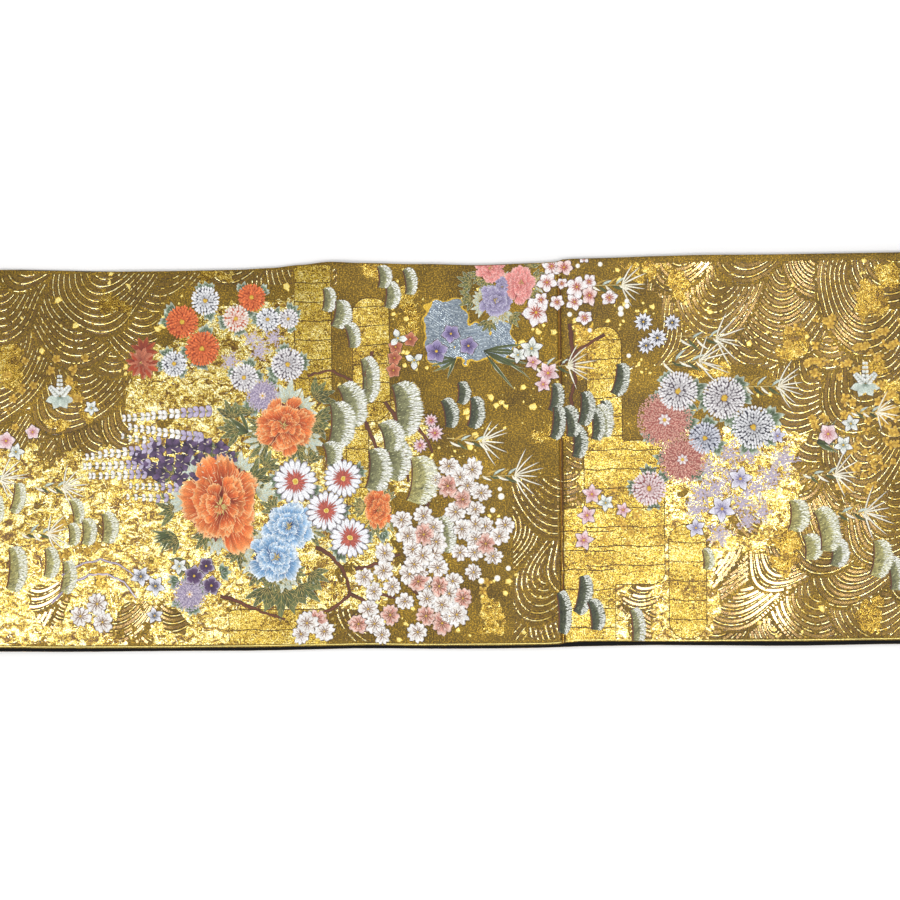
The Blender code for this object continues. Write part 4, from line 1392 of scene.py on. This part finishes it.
def lines_across(flecks_and_painted_light, rng):
    """The division lines of the bands, and along the storage crease a painted highlight on one side and
    painted shade on the other.
    """
    for box in BANDS:
        for y in np.arange(box.y - box.half_y + DIVISION, box.y + box.half_y - 4 * MM, DIVISION):
            xs = np.linspace(box.x - box.half_x, box.x + box.half_x, 12)
            ys = y + 0.5 * MM * np.sin(xs / (6 * MM)) + 0.2 * MM * rng.standard_normal(12)
            ribbon(flecks_and_painted_light, np.stack([xs, ys], 1), 0.36 * MM, plain(DARK_LINE), (0.14, 0.16), rng)
    border = [srgb(74, 50, 16), srgb(92, 62, 20), srgb(60, 40, 14)]
    contour_strokes(flecks_and_painted_light, band_field, 1.0, WHOLE, 2.0, lambda s, y, _: abs(y) < 150 * MM, 0.42, 0.02,
                    border, rng)
    # Along the crease, the lighter line just left of it is a painted highlight, and the darker line in its
    # valley is painted shade.
    for x, half, colour in ((-0.8, 0.45, srgb(164, 112, 36)), (0.5, 0.6, srgb(84, 52, 16))):
        across = np.linspace(-153, 155, 90) * MM
        line = np.stack([x * MM + 0.15 * MM * rng.standard_normal(90), across], 1)
        ribbon(flecks_and_painted_light, line, half * MM, plain(colour), (0.12, 0.13), rng)


def strewn_flecks(flecks_and_painted_light, rng):
    """Flakes of gold leaf on the open ground, and gold sprigs."""
    at = np.stack([rng.uniform(-530, 530, FLAKES), rng.uniform(-150, 152, FLAKES)], 1) * MM
    dense = wobble(at[:, 0], at[:, 1], 70, 9) > rng.uniform(-0.3, 1.2, len(at))
    bare = (mist_field(*at.T) < -3 * MM) & (band_field(*at.T) < -3 * MM)
    calm = (inside_any(DRY, *at.T) > 0) | (rng.random(len(at)) < 0.30)
    at = at[dense & bare & calm & (stream_field(*at.T) < -2 * MM)]
    radii = np.clip(rng.gamma(2.2, 0.6, len(at)), 0.5, 3.2) * MM
    discs(flecks_and_painted_light, at, radii, PALE_GOLD * 0.9, (0.02, 0.12), rng, sides=5, ragged=0.26, rim=GOLD)
    for x, y, reach, count in SPRIGS:
        for _ in range(round(count / MM)):
            centre = np.array([x, y]) + reach * rng.uniform(-1, 1, 2)
            angles = ring(int(rng.integers(3, 6)), rng, 0.15)
            framed(flecks_and_painted_light, centre, angles, rng.uniform(3.2, 5.0) * MM, 1.7 * MM, ROUND, LOOKS["gold_leaf"],
                   (0.06, 0.16), rng, 0.35, grid=COARSE)


def gold_pieces():
    """Mist, bands, gold patches, and flecks with the lines, among them painted light and shade along the
    crease and a painted highlight along the lower edge.
    """
    mist = Inlay("gold_mist", speckle_material("mist_foil", MIST_TONES, 0.28, 0.50, 0.20))
    area(mist, mist_field, WHOLE, 2.6, 0.05, GOLD)
    curls = Inlay("mist_lines", thread_material("curl_thread", 0.7, 0.22, 0.25, 0.0, 0.02))
    tones = [srgb(250, 240, 190), srgb(116, 80, 26), srgb(236, 206, 96)]
    contour_strokes(curls, curl_field, 2.6 * MM, WHOLE, 2.2, curl_keep, 0.34, 0.08, tones, draws("curls"))
    bands = Inlay("gold_bands", speckle_material("band_foil", BAND_TONES, 0.28, 0.14, 0.06))
    area(bands, band_field, WHOLE, 2.2, 0.08, GOLD)
    patches = Inlay("gold_patches", speckle_material("patch_foil", PATCH_TONES))
    area(patches, patch_field, WHOLE, 1.6, 0.10, GOLD)
    flecks_and_painted_light = Inlay("gold_flecks_and_painted_light", thread_material("gold_thread", 0.6, 0.34, 0.25, 0.0), 0.1)
    rng = draws("lines")
    lines_across(flecks_and_painted_light, rng)
    strewn_flecks(flecks_and_painted_light, rng)
    # A pale gold line just inside the top ply's lower edge: a painted highlight where the cloth rolls over
    # that edge.
    highlight_x = np.linspace(LEFT_X + 1 * MM, RIGHT_X - 1 * MM, 230)
    edge = np.stack([highlight_x, sash_edges(highlight_x)[0] + 1.3 * MM], 1)
    ribbon(flecks_and_painted_light, edge, 0.32 * MM, plain(PALE_GOLD), (0, 0.06), rng)
    return [mist.build(), curls.build(), bands.build(), patches.build(), flecks_and_painted_light.build()]


def water_piece():
    """Flowing stripes of gold foil on the open ground, the threads that edge them, and the pale
    stream with its gold edge."""
    rng = draws("water")
    foil = Inlay("water_foil", thread_material("foil", 0.6, 0.16, 0.12, 0.0, 0.006, 1.0))
    tones = [srgb(132, 99, 12), srgb(122, 88, 10), srgb(146, 112, 22)]
    contour_strokes(foil, water_field, WATER_PITCH, WATER_SPAN, 2.0, water_open, 0.95, 0.05, tones, rng, 0)
    water = Inlay("water_lines", thread_material("water_thread", 0.6, 0.26, 0.25, 0.0, 0.04, 0.5))
    pale = [srgb(250, 234, 168), srgb(232, 204, 108), srgb(196, 160, 62)]
    dark = [srgb(54, 36, 12), srgb(70, 48, 18), srgb(92, 64, 24)]
    edgings = ((0.31, 0.30, 0.05, dark), (-0.31, 0.30, 0.05, dark), (0.5, 0.40, 0.09, pale))
    for shift, half, up, tones in edgings:
        contour_strokes(water, lambda s, y: water_field(s, y) + WATER_PITCH * shift, WATER_PITCH, WATER_SPAN,
                        2.0, water_keep, half, up, tones, rng)
    area(water, lambda s, y: stream_field(s, y) + 1.3 * MM, STREAM_SPAN, 1.6, 0.06, GOLD)
    area(water, stream_field, STREAM_SPAN, 1.6, 0.09, srgb(136, 148, 158))
    waves = [srgb(192, 202, 208), srgb(100, 114, 132), srgb(164, 176, 186)]
    contour_strokes(water, ripple_field, 1.9 * MM, STREAM_SPAN, 1.3, lambda s, y, _: stream_field(s, y) > 0,
                    0.36, 0.14, waves, rng)
    return [foil.build(), water.build()]


def strew(inlay, rows, draw, rng, base, layers=3, grow=1.0):
    """Draws a motif for each row of a table. They take turns at a few heights, so that neighbours
    overlap cleanly."""
    for number, row in enumerate(rows):
        words = [LOOKS.get(cell, cell) for cell in row if isinstance(cell, str)]
        x, y, *sizes = row[len(words):]
        inlay.base = (base + 0.18 * (number % layers)) * MM
        draw(inlay, *words, np.array([x, y]), *[size * grow for size in sizes], rng)


def collar(leaves, rng):
    """Leaves that show round the flowers, where no other flower hides them."""
    flowers = [(x, y, radius, "lobed", 4, 0.66) for _, x, y, radius in MUMS + SPECKLED]
    flowers += [(x, y, radius, "lobed", 3, 0.55) for x, y, radius in DAISIES]
    flowers += [(x, y, (a + b) / 2, "feathered", 9, 0.6) for _, x, y, a, b in PEONIES]
    for x, y, radius, kind, count, share in flowers:
        for angle in ring(count, rng, 0.5):
            centre, ahead = np.array([x, y]), np.array([math.cos(angle), math.sin(angle)])
            reach = np.clip(radius * share, 6 * MM, (16 if kind == "feathered" else 11) * MM)
            reach = reach * rng.uniform(0.8, 1.15)
            tip = centre + ahead * (radius + reach * 0.4)
            hidden = any(math.hypot(tip[0] - f[0], tip[1] - f[1]) < f[2] * 0.95 for f in flowers)
            if not hidden and abs(tip[1]) < 148 * MM:
                shown = "pale" if kind == "feathered" and rng.random() < 0.35 else kind
                root, turn = centre + ahead * radius * 0.80, angle + rng.uniform(-0.4, 0.4)
                leaf(leaves, shown, root, reach, turn, rng)


def flower_pieces():
    """The flowers that are worked in coloured silk."""
    rng = draws("flowers")
    peonies, mums, small = (Inlay(name, silk(material)) for name, material in (
        ("peonies", "peony_silk"), ("chrysanthemums", "mum_silk"), ("blossoms", "blossom_silk")))
    for inlay, rows, draw, base, layers, grow in (
            (peonies, PEONIES, peony, 0.30, 1, 1.0), (mums, LILAC, speckles, 0.12, 1, 1.35),
            (mums, SPECKLED, speckled_mum, 0.26, 3, 1.0), (mums, MUMS, mum, 0.30, 3, 1.06),
            (mums, DAISIES, daisy, 0.30, 3, 1.05), (small, CHERRY, cherry, 0.30, 3, 1.16),
            (small, PLUM, plum, 0.30, 3, 1.12), (small, SMALL, small_flower, 0.26, 3, 1.0),
            (small, AUTUMN, autumn_leaf, 0.2, 1, 1.0), (small, BUDS, bud, 0.2, 1, 1.0)):
        strew(inlay, rows, draw, rng, base, layers, grow)
    return [peonies.build(), mums.build(), small.build()]


def foliage_pieces():
    """Leaves, pines, grass, wisteria and branches."""
    rng = draws("foliage")
    leaves, pines, sprays, wisteria, branches = (Inlay(name, silk(material)) for name, material in (
        ("leaves", "leaf_silk"), ("pines", "pine_silk"), ("sprays", "spray_silk"),
        ("wisteria", "wisteria_silk"), ("branches", "branch_silk")))
    strew(leaves, LONG_LEAVES, long_leaves, rng, 0.12, 1)
    strew(leaves, LEAVES, leaf, rng, 0.12, 1)
    collar(leaves, rng)
    strew(leaves, PAULOWNIAS, paulownia, rng, 0.12, 1)
    strew(pines, PINES, pine_pad, rng, 0.16)
    strew(sprays, SPRAYS, spray, rng, 0.16, 1)
    wisteria.base = 0.18 * MM
    for floret, *ends in RACEMES:
        raceme(wisteria, np.array(ends[:2]), np.array(ends[2:]), floret, rng)
    strew(wisteria, PURPLE_FLORETS, purple_floret, rng, 0.18, 1)
    branches.base = 0.12 * MM
    for half, *corners in BRANCHES:
        branch(branches, np.array(corners).reshape(-1, 2), half, rng)
    return [leaves.build(), pines.build(), sprays.build(), wisteria.build(), branches.build()]


# --- The sash ---------------------------------------------------------------------------------

STEP = 5 * MM
HIDDEN_STEP = 30 * MM
FACE_COLUMNS, BACK_COLUMNS = 56, 24
BACK_SETBACK = 0.4 * MM
stations = sash_stations(STEP, HIDDEN_STEP)
face_sheet = cloth_shell("face_sheet", 0.0, 0.0, FACE_COLUMNS, stations, ground_material())
back_sheet = cloth_shell("back_sheet", WALL + SEAM_GAP, BACK_SETBACK, BACK_COLUMNS, stations, back_material())
INLAYS = gold_pieces() + water_piece() + flower_pieces() + foliage_pieces()

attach(face_sheet, "root")
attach(back_sheet, "root")
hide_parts("face_cloth", "folded_plies")
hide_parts("back_cloth", "folded_plies")
for inlay in INLAYS:
    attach(inlay, "root")

# --- Camera, floor and light ------------------------------------------------------------------

TARGET = Vector((-90 * MM, 4 * MM, 10 * MM))
DISTANCE = 1.60
LENS = 79.12
SENSOR = 36
FARTHEST = 20
FLOOR_HALF = 4
WORLD_LIGHT = 0.565
TILT = math.radians(3.3)
ROLL = math.radians(0.72)


def add_camera():
    """The camera nearly straight above, as in the photo."""
    back = Vector((math.sin(TILT), 0, math.cos(TILT)))
    right = Vector((math.cos(TILT), 0, -math.sin(TILT)))
    up = Vector((0, 1, 0))
    turned_right = right * math.cos(ROLL) - up * math.sin(ROLL)
    turned_up = up * math.cos(ROLL) + right * math.sin(ROLL)
    data = bpy.data.cameras.new("camera")
    data.lens, data.sensor_width, data.clip_end = LENS, SENSOR, FARTHEST
    camera = bpy.data.objects.new("camera", data)
    camera.matrix_world = Matrix((turned_right, turned_up, back)).transposed().to_4x4()
    camera.location = TARGET + back * DISTANCE
    bpy.context.scene.collection.objects.link(camera)
    bpy.context.scene.camera = camera


def add_floor():
    """A plain pale surface under the sash."""
    material, tree, shader = new_material("paper")
    wire(tree, shader, {"Base Color": (0.99, 0.99, 0.99, 1), "Roughness": 0.9, "Specular IOR Level": 0.1})
    mesh = bpy.data.meshes.new("floor")
    corners = [(x * FLOOR_HALF, y * FLOOR_HALF, 0) for x, y in ((-1, -1), (1, -1), (1, 1), (-1, 1))]
    mesh.from_pydata(corners, [], [(0, 1, 2, 3)])
    mesh.materials.append(material)
    floor = bpy.data.objects.new("floor", mesh)
    bpy.context.scene.collection.objects.link(floor)


Softbox = namedtuple("Softbox", "name power width height place aim")
SOFTBOXES = [
    Softbox("left", 6.0, 0.28, 0.30, (-0.86, -0.24, 1.60), (-0.44, -0.11, 0)),
    Softbox("right", 5.4, 0.25, 0.24, (0.275, -0.235, 1.60), (0.14, -0.11, 0)),
    Softbox("top", 3.8, 0.18, 0.07, (0.22, 0.335, 1.60), (0.11, 0.16, 0)),
    Softbox("sky", 12.5, 1.6, 1.0, (-1.0, 1.9, 1.4), (0, 0, 0)),
    Softbox("low", 8, 1.6, 0.8, (0.2, -1.7, 1.3), (0, 0, 0)),
]


def add_softbox(box):
    data = bpy.data.lights.new(box.name, "AREA")
    data.shape = "ELLIPSE"
    data.energy, data.size, data.size_y = box.power, box.width, box.height
    light = bpy.data.objects.new(box.name, data)
    light.location = box.place
    light.rotation_mode = "QUATERNION"
    light.rotation_quaternion = (Vector(box.aim) - Vector(box.place)).to_track_quat("-Z", "Y")
    bpy.context.scene.collection.objects.link(light)


def add_world(strength):
    world = bpy.data.worlds.new("studio")
    world.use_nodes = True
    background = world.node_tree.nodes["Background"]
    background.inputs["Color"].default_value = (1, 1, 1, 1)
    background.inputs["Strength"].default_value = strength
    bpy.context.scene.world = world


add_camera()
add_floor()
add_world(WORLD_LIGHT)
for box in SOFTBOXES:
    add_softbox(box)
bpy.context.scene.view_settings.view_transform = "Standard"
